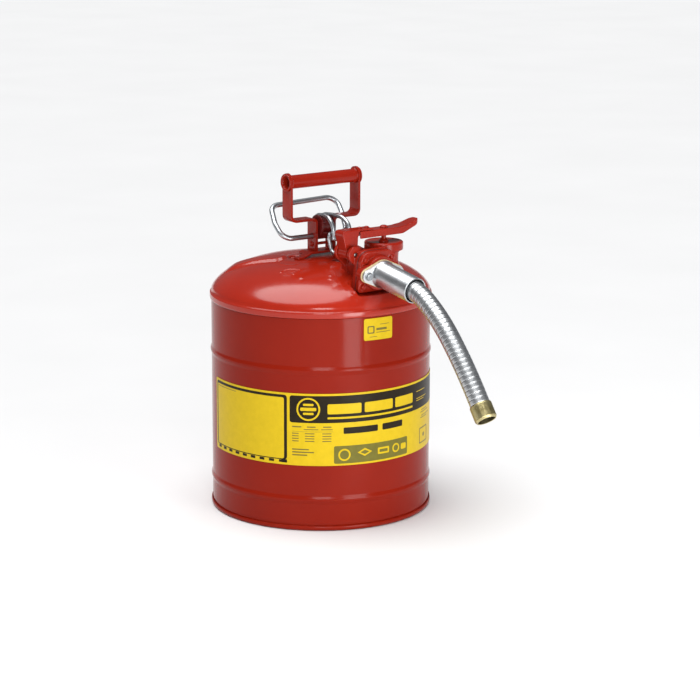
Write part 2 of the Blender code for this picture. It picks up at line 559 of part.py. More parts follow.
# ---------------------------------------------------------------- pour valve
valve_disc = turned("valve_disc", [(0, -14.6), (12.0, -14.6), (12.4, -15.2), (12.4, -18.6), (3.2, -18.6), (3.2, -18.9), (0, -18.9)],
                    material("valve_disc_steel", STEEL, 0.35, 1.0), 28, POUR_AT, POUR_ROT)
valve_seal = turned("valve_seal", [(12.2, -18.9), (12.2, -19.7), (3.6, -19.7), (3.6, -18.9)],
                    material("valve_seal_rubber", BLACK, 0.7, 0.0), 28, POUR_AT, POUR_ROT)
valve_stem = turned("valve_stem", [(0, -19.2), (3.0, -19.2), (3.0, -80.0), (0, -80.0)],
                    material("valve_stem_steel", STEEL, 0.3, 1.0), 16, POUR_AT, POUR_ROT)
packing_nut = turned("packing_nut", [(7.4, -56.3), (7.4, -61.6), (6.8, -62.0), (3.5, -62.0), (3.5, -56.3)],
                     material("packing_nut_brass", BRASS, 0.35, 1.0), 6, POUR_AT, POUR_ROT)

fin = [tuple(p) for p in fillet([(-35.4, 341.9), (-47.2, 365.6), (-51.4, 365.6), (-53.4, 341.2)], (1.5, 2.0, 2.0, 1.5), 3, closed=True)]
stem_clevis = plate("stem_clevis", [fin], -6.6, 6.6, paint("stem_clevis"), (0, 0, 0), YZ_ROT)
slot_centre = on_pour_axis(81.5)
cut(stem_clevis, block("cut_clevis_gap_back", (-4.4, -20.0, -14.0), (4.4, 30.0, 40.0), cutter=True,
                       loc=tuple(on_pour_axis(101.0)), rot=(POUR, 0, 0)))
cut(stem_clevis, block("cut_clevis_gap_top", (-4.4, -60.0, 7.0), (4.4, 60.0, 40.0), cutter=True,
                       loc=tuple(slot_centre), rot=(POUR, 0, 0)))
cut(stem_clevis, cylinder("cut_clevis_bore", 3.3, -90.0, -70.0, 16, POUR_AT, POUR_ROT))
cut(stem_clevis, cylinder("cut_hook_hole", 3.4, -12.0, 12.0, 16, (0, PIN_Y, PIN_Z), X_ROT))

coil = []
TURNS, PER_TURN = 5, 12
for k in range(TURNS * PER_TURN + 1):
    a = 2 * math.pi * k / PER_TURN
    back = 63.3 + (73.6 - 63.3) * k / (TURNS * PER_TURN)
    centre = on_pour_axis(back)
    coil.append(tuple(centre + 5.8 * (math.cos(a) * np.array([1, 0, 0])
                                      + math.sin(a) * np.array([0, -math.sin(POUR), math.cos(POUR)]))))
valve_spring = wire("valve_spring", coil, 0.8, material("valve_spring_steel", STEEL, 0.3, 1.0), 1)

pour_screen = turned("pour_screen", [(0, 286.0), (7.4, 286.0), (7.4, 327.0), (8.4, 327.0), (8.4, 285.0), (0, 285.0)],
                     material("pour_screen_mesh", STEEL, 0.5, 1.0), 20, (0, -92.0, 0))

# ---------------------------------------------------------------- fill neck and lid
filler_neck = turned("filler_neck", [(20.2, 359.4), (20.8, 358.7), (20.8, 356.9), (19.8, 356.0), (19.4, 342.0), (18.5, 336.0),
                                     (18.5, 306.0), (16.8, 306.0), (16.8, 353.8), (18.4, 353.8), (18.4, 359.4)],
                     paint("filler_neck"), 36, (NECK_X, NECK_Y, 0))
fill_screen = turned("fill_screen", [(0, 237.2), (15.2, 237.2), (15.2, 355.4), (18.0, 355.4), (18.0, 354.1), (16.2, 354.1), (16.2, 236.0), (0, 236.0)],
                     material("fill_screen_mesh", STEEL, 0.5, 1.0), 24, (NECK_X, NECK_Y, 0))
lid_gasket = turned("lid_gasket", [(20.6, 361.3), (20.6, 359.8), (17.6, 359.8), (17.6, 361.3)],
                    material("lid_gasket_rubber", BLACK, 0.7, 0.0), 28, (NECK_X, NECK_Y, 0))
fill_lid = turned("fill_lid", [(0, LID_Z1 - 0.8), (9.0, LID_Z1 - 0.8), (19.0, LID_Z1 - 0.5), (22.6, LID_Z1), (24.6, LID_Z1 - 0.6), (LID_R, LID_Z1 - 2.2),
                               (LID_R, LID_Z0 + 1.6), (24.9, LID_Z0 + 0.2), (22.0, LID_Z0 - 0.2), (0, LID_Z0 - 0.2)],
                    paint("fill_lid"), 36, (NECK_X, NECK_Y, 0))

ARM_Y = (NECK_Y - 9.3, NECK_Y + 9.3)
arm_outline = ([tuple(p) for p in fillet([(HINGE_X - 9.0, HINGE_Z), (-34.6, 364.6), (-39.8, 385.0), (-39.8, 391.0), (9.5, 391.0), (9.5, 388.9),
                                          (-13.6, 388.9), (-15.6, 381.0), (-16.2, 371.0), (HINGE_X + 9.0, HINGE_Z)],
                                         (0, 4.0, 4.0, 4.5, 0.8, 0.8, 3.0, 4.0, 4.0, 0), 4)]
               + circle(HINGE_X, HINGE_Z, 9.0, 10, 0, -180)[1:-1])
lid_arm = plate("lid_arm", [arm_outline], -ARM_Y[1], -ARM_Y[0], paint("lid_arm"), (0, 0, 0), SIDE_ROT)
arm_room = [(-33.4, 345.0), (-32.6, 365.0), (-37.9, 385.4), (-37.9, 389.1), (20.0, 389.1), (20.0, 345.0)]
cut(lid_arm, plate("cut_arm_room", [arm_room], -ARM_Y[1] + 2.0, -ARM_Y[0] - 2.0, None, (0, 0, 0), SIDE_ROT, True))
cut(lid_arm, cylinder("cut_arm_pin", 2.7, 70.0, 130.0, 16, (HINGE_X, 0, HINGE_Z), SIDE_ROT))

LEVER_W = 20.0
lever_side = [tuple(p) for p in fillet([(-12.6, 378.8), (-12.6, 388.5), (50.0, 388.3), (66.0, 391.6), (79.0, 397.4), (84.8, 393.4), (80.0, 387.4), (57.0, 379.0)],
                                       (1.0, 1.0, 12.0, 12.0, 1.6, 1.6, 6.0, 12.0), 3, closed=True)]
lid_lever = plate("lid_lever", [lever_side], -NECK_Y - LEVER_W / 2, -NECK_Y + LEVER_W / 2, paint("lid_lever"), (0, 0, 0), SIDE_ROT)
lever_room = [(-30.0, 370.0), (-30.0, 386.5), (50.0, 386.3), (63.0, 388.6), (70.0, 386.0), (60.0, 370.0)]
cut(lid_lever, plate("cut_lever_room", [lever_room], -NECK_Y - LEVER_W / 2 + 1.8, -NECK_Y + LEVER_W / 2 - 1.8, None, (0, 0, 0), SIDE_ROT, True))
tip_plan = [(-40.0, NECK_Y - 14.0)] + circle(74.6, NECK_Y, LEVER_W / 2 + 0.4, 10, -90, 90) + [(-40.0, NECK_Y + 14.0)]
cut(lid_lever, plate("cut_lever_plan", [tip_plan], 340.0, 420.0, None, cutter=True), "INTERSECT")
cut(lid_lever, cylinder("cut_lid_rivet", 3.5, 370.0, 400.0, 16, (NECK_X, NECK_Y, 0)))
lid_rivet = turned("lid_rivet", [(0, 391.8), (3.0, 391.4), (5.2, 390.2), (5.6, 388.8), (3.2, 388.8), (3.2, 374.0), (6.4, 372.0), (6.4, LID_Z1 - 0.4), (0, LID_Z1 - 0.4)],
                   paint("lid_rivet"), 20, (NECK_X, NECK_Y, 0))
for label, x in (("left", -7.0), ("right", 4.0)):
    cut(lid_arm, cylinder("cut_arm_rivet_" + label, 2.3, 380.0, 400.0, 12, (x, NECK_Y, 0)))
    cut(lid_lever, cylinder("cut_lever_rivet_" + label, 2.3, 380.0, 400.0, 12, (x, NECK_Y, 0)))
    turned("lever_rivet_" + label, [(0, 393.2), (2.2, 392.9), (3.6, 391.3), (2.0, 391.3), (2.0, 386.1), (3.4, 386.1), (2.4, 384.8), (0, 384.6)],
           paint("lever_rivet_" + label), 12, (x, NECK_Y, 0))

lid_hinge_pin = turned("lid_hinge_pin", [(0, 116.4), (2.0, 116.4), (2.4, 116.0), (2.4, 82.5), (4.0, 82.5), (4.0, 81.3), (3.2, 80.4), (0, 80.0)],
                       material("lid_hinge_pin_steel", STEEL, 0.3, 1.0), 16, (HINGE_X, 0, HINGE_Z), SIDE_ROT)
spring_line = [(HINGE_X + 3.0, -104.2, HINGE_Z + 18.0), (HINGE_X + 4.4, -104.2, HINGE_Z + 6.0)]
for k in range(5 * 10 + 1):
    a = 2 * math.pi * k / 10
    spring_line.append((HINGE_X + 4.4 * math.cos(a), -104.2 + 12.0 * k / 50, HINGE_Z - 4.4 * math.sin(a)))
spring_line += [(HINGE_X + 4.4, -92.2, HINGE_Z + 6.0), (HINGE_X + 8.0, -92.2, HINGE_Z + 14.0)]
lid_spring = wire("lid_spring", spring_line, 0.8, material("lid_spring_steel", STEEL, 0.3, 1.0), 1)

# ---------------------------------------------------------------- hose and its tip
mouth = on_pour_axis(-ADAPTER_END)
hose_route = [on_pour_axis(-62.4), on_pour_axis(-72.0), mouth + np.array([0, 0, -0.4]), (0, -226.0, 319.6), (0, -243.0, 309.6), (0, -260.0, 297.4),
              (0, -276.0, 283.6), (0, -291.0, 268.6), (0, -305.0, 253.4), (0, -318.0, 238.2), (0, -330.0, 223.2), (0, -343.6, 205.2)]
hose_points = spline_through(hose_route, 9.0)
flex_hose = wire("flex_hose", hose_points, HOSE_R, material("flex_hose_zinc", ZINC, 0.35, 1.0), 3)
end = np.asarray(hose_points[-1], float)
heading = end - np.asarray(hose_points[-2], float)
heading /= np.linalg.norm(heading)
tip_rot = Vector(heading).to_track_quat("Z", "X").to_euler()
hose_tip = turned("hose_tip", [(12.2, 22.3), (13.2, 21.6), (13.4, 9.0), (14.6, 8.2), (14.6, 1.2), (13.8, 0.35), (11.0, 0.35), (11.0, 22.3)],
                  material("hose_tip_brass", BRASS, 0.3, 1.0), 32, tuple(end), tuple(tip_rot))

# ---------------------------------------------------------------- joint axes
trigger_axis = joint_empty("trigger_axis", (0, PIVOT_Y, PIVOT_Z))
link_axis = joint_empty("link_axis", (0, CAM_Y, CAM_Z))
valve_axis = joint_empty("valve_axis", tuple(on_pour_axis(84.6)), POUR_ROT)
lid_axis = joint_empty("lid_axis", (HINGE_X, NECK_Y, HINGE_Z))
ride(trigger_axis, trigger_wire, trigger_cam)
ride(link_axis, pull_bail, hook_link)
ride(valve_axis, valve_disc, valve_seal, valve_stem, stem_clevis)
ride(lid_axis, fill_lid, lid_gasket, lid_arm, lid_lever, lid_rivet,
     bpy.data.objects["lever_rivet_left"], bpy.data.objects["lever_rivet_right"])
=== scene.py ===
"""The looks of the safety gas can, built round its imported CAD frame. Lengths in millimetres are
scaled to metres by MM; every finished piece has its vertices in the row frame."""

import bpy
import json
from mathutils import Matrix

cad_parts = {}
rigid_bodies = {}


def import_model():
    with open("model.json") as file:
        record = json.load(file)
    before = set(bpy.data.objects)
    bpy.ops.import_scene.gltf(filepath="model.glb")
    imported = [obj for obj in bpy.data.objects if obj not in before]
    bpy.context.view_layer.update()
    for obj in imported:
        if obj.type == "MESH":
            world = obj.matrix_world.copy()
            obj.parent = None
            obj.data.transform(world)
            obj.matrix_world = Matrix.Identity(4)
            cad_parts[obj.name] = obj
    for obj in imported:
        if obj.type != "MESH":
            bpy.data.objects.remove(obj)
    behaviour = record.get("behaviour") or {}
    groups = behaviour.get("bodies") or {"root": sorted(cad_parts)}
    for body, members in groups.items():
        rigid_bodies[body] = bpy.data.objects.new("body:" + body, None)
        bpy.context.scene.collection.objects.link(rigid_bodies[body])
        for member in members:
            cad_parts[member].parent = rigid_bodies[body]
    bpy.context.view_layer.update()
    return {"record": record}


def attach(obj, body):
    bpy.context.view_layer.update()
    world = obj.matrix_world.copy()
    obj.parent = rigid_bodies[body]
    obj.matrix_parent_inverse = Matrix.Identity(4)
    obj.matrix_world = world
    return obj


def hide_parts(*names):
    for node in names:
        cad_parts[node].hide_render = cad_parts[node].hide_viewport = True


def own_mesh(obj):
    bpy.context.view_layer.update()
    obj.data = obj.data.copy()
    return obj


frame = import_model()

import json
import math

import bmesh
import bpy
import numpy as np
from mathutils import Matrix, Vector

MM = 0.001

# ---------------------------------------------------------------- driving dimensions (mm)
BODY_R = 147.0            # outside of the can's wall
WALL = 1.2                # sheet thickness of wall, dome and bottom
SEAM_R = 149.0            # outside of the rolled seams
SEAM_Z = 283.6            # underside of the top seam
DOME_Z, DOME_H = 294.2, 46.0   # springing height of the dome and its rise
DOME_P, DOME_Q = 2.58, 1.61    # shape of the dome's curve
DOME_R = 147.2
BEAD_Z = (214.5, 41.2)    # heights of the two stiffening beads
BEAD_H, BEAD_OUT = 5.6, 1.5
STEPS = 60                # facets round the can

LABEL_Z = (88.2, 184.8)   # the wrap-round label
LABEL_A = (-105.0, 75.0)  # its ends, degrees from the pour direction, + towards +X
SMALL_LABEL_Z = (252.6, 281.4)
SMALL_LABEL_A = (-12.8, 3.9)

BAR_Z = 442.8             # carrying bar
BAR_R = 9.0
STRAP_Y = -2.2            # centre of the two straps that hold the bar
STRAP_W, STRAP_T = 20.4, 3.0
STRAP_X = 54.7            # upper part of each strap
LEG_X = 14.5              # lower part of each strap
JOG_Z = 391.0             # where the strap steps inwards
STRAP_TOP = 455.0
BRACKET_Z = 346.5         # bridge that the legs stand on
BRACKET_W = 24.0

PIVOT_Y, PIVOT_Z = -2.5, 367.5   # trigger axis, along X
TRIGGER_TILT = 50.0       # the trigger loop leans back from upright
TRIGGER_R = 3.5
CAM_Y, CAM_Z, CAM_R = -6.0, 381.5, 14.3
CAM_CORE_R = 10.2
BAIL_R = 2.9
HOOK_R = 2.1
PIN_Y, PIN_Z = -44.5, 350.5      # where the pull link takes the valve stem's clevis

POUR_Y, POUR_Z = -128.2, 338.0   # centre of the pour flange's front face
POUR_DIP = 8.5            # the pour axis dips this much below level, degrees
ADAPTER_R, ADAPTER_BORE = 17.0, 15.3
ADAPTER_END = 82.0        # from the pour flange to the adapter's mouth
HOSE_R = 13.0
TIP_LENGTH = 22.0

NECK_X, NECK_Y = 32.0, -98.0     # fill neck
LID_R, LID_Z0, LID_Z1 = 25.7, 361.6, 368.6
HINGE_X, HINGE_Z = -26.6, 360.6  # lid hinge axis, along Y
EAR_R = 10.8
GAP = 0.3

PARTS = bpy.data.collections.new("working_shapes")
LOOKS = bpy.data.collections.new("looks")
bpy.context.scene.collection.children.link(PARTS)
bpy.context.scene.collection.children.link(LOOKS)
CUTTERS = PARTS
BODY_OF = {node: body for body, nodes in frame["record"]["behaviour"]["bodies"].items() for node in nodes}


def put(name, data, mat=None, cutter=False):
    made = bpy.data.objects.new("w_" + name, data)
    PARTS.objects.link(made)
    if cutter:
        made.hide_render = True
    return made


def mesh_of(name, bm):
    data = bpy.data.meshes.new(name)
    bm.to_mesh(data)
    bm.free()
    return data


def turned(name, profile, mat=None, steps=32, loc=(0, 0, 0), rot=(0, 0, 0), cutter=False):
    """A Screw modifier turns (radius, height) points about local Z. A profile that runs down the
    outer side closes at the axis or back on itself."""
    bm = bmesh.new()
    points = [bm.verts.new((r * MM, 0.0, z * MM)) for r, z in profile]
    for a, b in zip(points, points[1:]):
        bm.edges.new((a, b))
    if profile[0][0] > 0.0:
        bm.edges.new((points[-1], points[0]))
    made = put(name, mesh_of(name, bm), mat, cutter)
    screw = made.modifiers.new("Screw", "SCREW")
    screw.axis = "Z"
    screw.steps = screw.render_steps = steps
    screw.use_merge_vertices = True
    screw.merge_threshold = 1e-6
    screw.use_smooth_shade = True
    made.location = [v * MM for v in loc]
    made.rotation_euler = rot
    return made


def cylinder(name, radius, z0, z1, steps=24, loc=(0, 0, 0), rot=(0, 0, 0), mat=None, cutter=True, twist=0.0):
    bm = bmesh.new()
    bmesh.ops.create_cone(bm, cap_ends=True, cap_tris=False, segments=steps, radius1=radius * MM,
                          radius2=radius * MM, depth=(z1 - z0) * MM,
                          matrix=Matrix.Translation((0, 0, (z0 + z1) / 2 * MM)) @ Matrix.Rotation(twist, 4, "Z"))
    made = put(name, mesh_of(name, bm), mat, cutter)
    made.location = [v * MM for v in loc]
    made.rotation_euler = rot
    return made


def block(name, low, high, mat=None, bevel=0.0, cutter=False, loc=(0, 0, 0), rot=(0, 0, 0)):
    low, high = np.array(low, float), np.array(high, float)
    bm = bmesh.new()
    bmesh.ops.create_cube(bm, size=1.0)
    bmesh.ops.scale(bm, vec=(high - low) * MM, verts=bm.verts)
    bmesh.ops.translate(bm, vec=(high + low) / 2 * MM, verts=bm.verts)
    made = put(name, mesh_of(name, bm), mat, cutter)
    made.location = [v * MM for v in loc]
    made.rotation_euler = rot
    if bevel:
        edge = made.modifiers.new("Bevel", "BEVEL")
        edge.width, edge.segments = bevel * MM, 2
    return made


def plate(name, outlines, z0, z1, mat=None, loc=(0, 0, 0), rot=(0, 0, 0), cutter=False):
    """A flat outline with its holes, a filled 2D curve extruded from z0 to z1, made a mesh."""
    curve = bpy.data.curves.new(name, "CURVE")
    curve.dimensions = "2D"
    curve.fill_mode = "BOTH"
    curve.extrude = (z1 - z0) / 2 * MM
    for outline in outlines:
        spline = curve.splines.new("POLY")
        spline.points.add(len(outline) - 1)
        for point, (x, y) in zip(spline.points, outline):
            point.co = (x * MM, y * MM, 0.0, 1.0)
        spline.use_cyclic_u = True
    flat = bpy.data.objects.new(name + "_outline", curve)
    PARTS.objects.link(flat)
    data = to_mesh(flat, name)
    data.transform(Matrix.Translation((0, 0, (z0 + z1) / 2 * MM)))
    made = put(name, data, mat, cutter)
    made.location = [v * MM for v in loc]
    made.rotation_euler = rot
    return made


def to_mesh(curve_object, name):
    """The curve's evaluated mesh with its caps welded on; the curve itself is removed."""
    bpy.context.view_layer.update()
    graph = bpy.context.evaluated_depsgraph_get()
    data = bpy.data.meshes.new_from_object(curve_object.evaluated_get(graph))
    data.name = name
    bm = bmesh.new()
    bm.from_mesh(data)
    bmesh.ops.remove_doubles(bm, verts=bm.verts, dist=1e-6)
    bmesh.ops.recalc_face_normals(bm, faces=bm.faces)
    bm.to_mesh(data)
    bm.free()
    data.materials.clear()
    bpy.data.objects.remove(curve_object, do_unlink=True)
    return data


def wire(name, points, radius, mat, resolution=2, cyclic=False):
    """A round bar bent along the points: a POLY curve with a bevel and filled ends."""
    curve = bpy.data.curves.new(name, "CURVE")
    curve.dimensions = "3D"
    curve.bevel_depth = radius * MM
    curve.bevel_resolution = resolution
    curve.use_fill_caps = not cyclic
    spline = curve.splines.new("POLY")
    spline.points.add(len(points) - 1)
    for point, at in zip(spline.points, points):
        point.co = (*(np.asarray(at, float) * MM), 1.0)
    spline.use_cyclic_u = cyclic
    spline.use_smooth = True
    return put(name, curve, mat)


def strip(name, path, thickness, width, y, mat):
    """A bent flat bar: its centre line in the XZ plane, drawn out along Y and thickened."""
    bm = bmesh.new()
    line = [bm.verts.new((px * MM, (y - width / 2) * MM, pz * MM)) for px, pz in path]
    edges = [bm.edges.new(pair) for pair in zip(line, line[1:])]
    out = bmesh.ops.extrude_edge_only(bm, edges=edges)
    moved = [v for v in out["geom"] if isinstance(v, bmesh.types.BMVert)]
    bmesh.ops.translate(bm, vec=(0, width * MM, 0), verts=moved)
    made = put(name, mesh_of(name, bm), mat)
    solid = made.modifiers.new("Solidify", "SOLIDIFY")
    solid.thickness = thickness * MM
    solid.offset = 0.0
    solid.use_even_offset = True
    return made


def sheet_round(name, radius, thickness, angles, heights, segments, mat):
    """A thin sheet bent round the can's axis; angles are measured from -Y towards +X."""
    bm = bmesh.new()
    bmesh.ops.create_grid(bm, x_segments=segments, y_segments=1, size=0.5)
    for vert in bm.verts:
        a = math.radians(angles[0] + (vert.co.x + 0.5) * (angles[1] - angles[0]))
        z = heights[0] + (vert.co.y + 0.5) * (heights[1] - heights[0])
        vert.co = (radius * math.sin(a) * MM, -radius * math.cos(a) * MM, z * MM)
    made = put(name, mesh_of(name, bm), mat)
    solid = made.modifiers.new("Solidify", "SOLIDIFY")
    solid.thickness = thickness * MM
    solid.offset = 1.0
    return made


def cut(obj, cutter, operation="DIFFERENCE"):
    boolean = obj.modifiers.new(operation.title() + "_" + cutter.name, "BOOLEAN")
    boolean.operation = operation
    boolean.solver = "EXACT"
    boolean.object = cutter
    return obj


def circle(cx, cy, radius, steps=20, start=0.0, end=360.0):
    full = abs(end - start) >= 360.0
    count = steps if full else steps + 1
    return [(cx + radius * math.cos(math.radians(start + (end - start) * i / steps)),
             cy + radius * math.sin(math.radians(start + (end - start) * i / steps))) for i in range(count)]


def fillet(corners, radii, steps=5, closed=False):
    """A path of straight runs whose corners are rounded; works in 2D and 3D."""
    corners = [np.asarray(c, float) for c in corners]
    count = len(corners)
    path = []
    for i, corner in enumerate(corners):
        radius = radii[i] if hasattr(radii, "__len__") else radii
        if not closed and i in (0, count - 1) or radius <= 0:
            path.append(corner)
            continue
        a, b = corners[i - 1] - corner, corners[(i + 1) % count] - corner
        a, b = a / np.linalg.norm(a), b / np.linalg.norm(b)
        half = math.acos(max(-1.0, min(1.0, float(a @ b)))) / 2
        reach = radius / math.tan(half)
        centre = corner + (a + b) / np.linalg.norm(a + b) * radius / math.sin(half)
        first, last = corner + a * reach - centre, corner + b * reach - centre
        turn = math.pi - 2 * half
        for k in range(steps + 1):
            w = k / steps
            path.append(centre + (math.sin((1 - w) * turn) * first + math.sin(w * turn) * last) / math.sin(turn))
    return path


def rounded_rectangle(width, height, radius, steps=5):
    w, h = width / 2, height / 2
    return [tuple(p) for p in fillet([(-w, -h), (w, -h), (w, h), (-w, h)], radius, steps, closed=True)]


def spline_through(points, step):
    """A smooth curve through the points, sampled about every step."""
    p = np.asarray(points, float)
    knots = np.r_[0.0, np.cumsum(np.sqrt(np.linalg.norm(np.diff(p, axis=0), axis=1)))]
    ends = np.vstack([2 * p[0] - p[1], p, 2 * p[-1] - p[-2]])
    t = np.r_[2 * knots[0] - knots[1], knots, 2 * knots[-1] - knots[-2]]
    out = [p[0]]
    for i in range(1, len(p)):
        p0, p1, p2, p3 = ends[i - 1], ends[i], ends[i + 1], ends[i + 2]
        t0, t1, t2, t3 = t[i - 1], t[i], t[i + 1], t[i + 2]
        count = max(1, int(round(np.linalg.norm(p2 - p1) / step)))
        for k in range(1, count + 1):
            s = t1 + (t2 - t1) * k / count
            a1 = (t1 - s) / (t1 - t0) * p0 + (s - t0) / (t1 - t0) * p1
            a2 = (t2 - s) / (t2 - t1) * p1 + (s - t1) / (t2 - t1) * p2
            a3 = (t3 - s) / (t3 - t2) * p2 + (s - t2) / (t3 - t2) * p3
            b1 = (t2 - s) / (t2 - t0) * a1 + (s - t0) / (t2 - t0) * a2
            b2 = (t3 - s) / (t3 - t1) * a2 + (s - t1) / (t3 - t1) * a3
            out.append((t2 - s) / (t2 - t1) * b1 + (s - t1) / (t2 - t1) * b2)
    return out


def dome_height(r):
    return DOME_Z + DOME_H * max(0.0, 1.0 - (r / DOME_R) ** DOME_P) ** (1.0 / DOME_Q)


def joint_empty(name, loc, rot=(0, 0, 0)):
    made = bpy.data.objects.new(name, None)
    made.location = [v * MM for v in loc]
    made.rotation_euler = rot
    PARTS.objects.link(made)
    return made


def ride(empty, *objects):
    rest = Matrix.LocRotScale(empty.location, empty.rotation_euler, None)
    for obj in objects:
        obj.parent = empty
        obj.matrix_parent_inverse = rest.inverted()


def hull2(circles, steps=28):
    """The outline round several circles (x, y, r): the convex hull of their points."""
    points = sorted({(round(x, 5), round(y, 5)) for cx, cy, r in circles for x, y in circle(cx, cy, r, steps)})

    def half(seq):
        out = []
        for p in seq:
            while len(out) > 1 and ((out[-1][0] - out[-2][0]) * (p[1] - out[-2][1])
                                    - (out[-1][1] - out[-2][1]) * (p[0] - out[-2][0])) <= 1e-9:
                out.pop()
            out.append(p)
        return out[:-1]

    return half(points) + half(points[::-1])


POUR = math.radians(POUR_DIP)
POUR_ROT = (math.pi / 2 + POUR, 0, 0)      # local Z points out of the spout, local Y up
POUR_AT = (0, POUR_Y, POUR_Z)
SIDE_ROT = (math.pi / 2, 0, 0)             # plate drawn in XZ; local Z points to -Y
YZ_ROT = (math.pi / 2, 0, math.pi / 2)     # plate drawn in YZ; local Z points to +X
X_ROT = (0, math.pi / 2, 0)                # local Z points to +X


def on_pour_axis(back):
    """The point of the pour axis this far behind the pour flange's face."""
    return np.array([0.0, POUR_Y + back * math.cos(POUR), POUR_Z + back * math.sin(POUR)])


def smoothstep(a, b, x):
    t = np.clip((x - a) / (b - a), 0.0, 1.0)
    return t * t * (3 - 2 * t)


def evaluated(obj):
    """The object's mesh with its modifiers, in the row frame."""
    bpy.context.view_layer.update()
    graph = bpy.context.evaluated_depsgraph_get()
    data = bpy.data.meshes.new_from_object(obj.evaluated_get(graph))
    data.transform(obj.matrix_world)
    return data


def finish_piece(obj, name, mats, nodes, angle=30.0, bevel=0.0, segments=3, cast=0.0, soften=6, body=None):
    """Bakes the working shape, rounds its edges, gives it its materials and sets it on its body."""
    if cast:
        first = obj.modifiers.new("Cast", "REMESH")
        first.mode = "VOXEL"
        first.voxel_size = cast * MM
        first.use_smooth_shade = True
        second = obj.modifiers.new("Soften", "SMOOTH")
        second.factor, second.iterations = 0.5, soften
    if bevel:
        edge = obj.modifiers.new("Edges", "BEVEL")
        edge.width, edge.segments = bevel * MM, segments
        edge.limit_method, edge.angle_limit = "ANGLE", math.radians(28.0)
        edge.use_clamp_overlap = True
    data = evaluated(obj)
    data.name = name
    bpy.data.objects.remove(obj, do_unlink=True)
    data.materials.clear()
    for mat in (mats if isinstance(mats, (list, tuple)) else [mats]):
        data.materials.append(mat)
    data.shade_smooth()
    if not cast:
        data.set_sharp_from_angle(angle=math.radians(angle))
    made = bpy.data.objects.new(name, data)
    LOOKS.objects.link(made)
    nodes = [nodes] if isinstance(nodes, str) else list(nodes)
    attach(made, body or BODY_OF[nodes[0]])
    if nodes:
        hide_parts(*nodes)
    return made


def join(name, *objs):
    """One working shape from several closed shells."""
    bm = bmesh.new()
    for obj in objs:
        data = evaluated(obj)
        bm.from_mesh(data)
        bpy.data.objects.remove(obj, do_unlink=True)
    for face in bm.faces:
        face.material_index = 0
    return put(name, mesh_of(name, bm))


def tube(name, points, radius, sides=28, ends=True):
    """A round bar along the points with rounded ends, its rings turned smoothly along it."""
    p = np.asarray(points, float)
    if ends:
        def cap(a, b):
            d = (a - b) / np.linalg.norm(a - b)
            return [a - d * radius * (1 - math.sin(t)) for t in (math.pi / 2, 1.2, 0.85, 0.5, 0.2, 0.0)], \
                   [max(0.02, math.cos(t)) for t in (math.pi / 2, 1.2, 0.85, 0.5, 0.2, 0.0)]
        start, rs = cap(p[0], p[1])
        finish, rf = cap(p[-1], p[-2])
        keep = [i for i in range(len(p)) if np.linalg.norm(p[i] - p[0]) > radius * 1.05 and np.linalg.norm(p[i] - p[-1]) > radius * 1.05]
        p = np.array(start + [p[i] for i in keep] + finish[::-1])
        rad = np.array(rs + [1.0] * len(keep) + rf[::-1]) * radius
    else:
        rad = np.full(len(p), float(radius))
    tang = np.gradient(p, axis=0)
    tang /= np.linalg.norm(tang, axis=1)[:, None]
    up = np.array([1.0, 0, 0]) if abs(tang[0][0]) < 0.9 else np.array([0, 1.0, 0])
    normal = np.cross(tang[0], up)
    normal /= np.linalg.norm(normal)
    bm = bmesh.new()
    rings = []
    for i in range(len(p)):
        normal = normal - (normal @ tang[i]) * tang[i]
        normal /= np.linalg.norm(normal)
        side = np.cross(tang[i], normal)
        rings.append([bm.verts.new((p[i] + rad[i] * (math.cos(2 * math.pi * k / sides) * normal
                                                     + math.sin(2 * math.pi * k / sides) * side)) * MM) for k in range(sides)])
    for a, b in zip(rings, rings[1:]):
        for k in range(sides):
            bm.faces.new((a[k], a[(k + 1) % sides], b[(k + 1) % sides], b[k]))
    bm.faces.new(rings[0][::-1])
    bm.faces.new(rings[-1])
    bmesh.ops.recalc_face_normals(bm, faces=bm.faces)
    return put(name, mesh_of(name, bm))


def smooth_profile(profile, step=0.5, passes=1):
    """The profile with its corners rounded by Chaikin cutting, its two ends kept."""
    p = [np.array(q, float) for q in profile]
    for _ in range(passes):
        out = [p[0]]
        for a, b in zip(p, p[1:]):
            out += [a * 0.75 + b * 0.25, a * 0.25 + b * 0.75]
        p = out + [p[-1]]
    return [tuple(q) for q in p]


# ---------------------------------------------------------------- materials
def new_material(name):
    made = bpy.data.materials.new(name)
    made.use_nodes = True
    tree = made.node_tree
    return made, tree, tree.nodes["Principled BSDF"]


def add(tree, kind, **values):
    node = tree.nodes.new(kind)
    for key, value in values.items():
        if key in node.inputs:
            node.inputs[key].default_value = value
        else:
            setattr(node, key, value)
    return node


def coordinates(tree, scale=(1.0, 1.0, 1.0), rotation=(0.0, 0.0, 0.0)):
    place = add(tree, "ShaderNodeTexCoord")
    turn = add(tree, "ShaderNodeMapping")
    turn.inputs["Scale"].default_value = scale
    turn.inputs["Rotation"].default_value = rotation
    tree.links.new(place.outputs["Object"], turn.inputs["Vector"])
    return turn.outputs["Vector"]


def noise_of(tree, vector, scale, detail=2.0, roughness=0.5):
    made = add(tree, "ShaderNodeTexNoise")
    made.inputs["Scale"].default_value = scale
    made.inputs["Detail"].default_value = detail
    made.inputs["Roughness"].default_value = roughness
    tree.links.new(vector, made.inputs["Vector"])
    return made.outputs["Fac"]


def ramp_of(tree, fac, stops):
    made = add(tree, "ShaderNodeValToRGB")
    band = made.color_ramp
    while len(band.elements) < len(stops):
        band.elements.new(0.5)
    for element, (at, colour) in zip(band.elements, stops):
        element.position = at
        element.color = (*colour, 1.0) if hasattr(colour, "__len__") else (colour, colour, colour, 1.0)
    tree.links.new(fac, made.inputs["Fac"])
    return made.outputs["Color"]


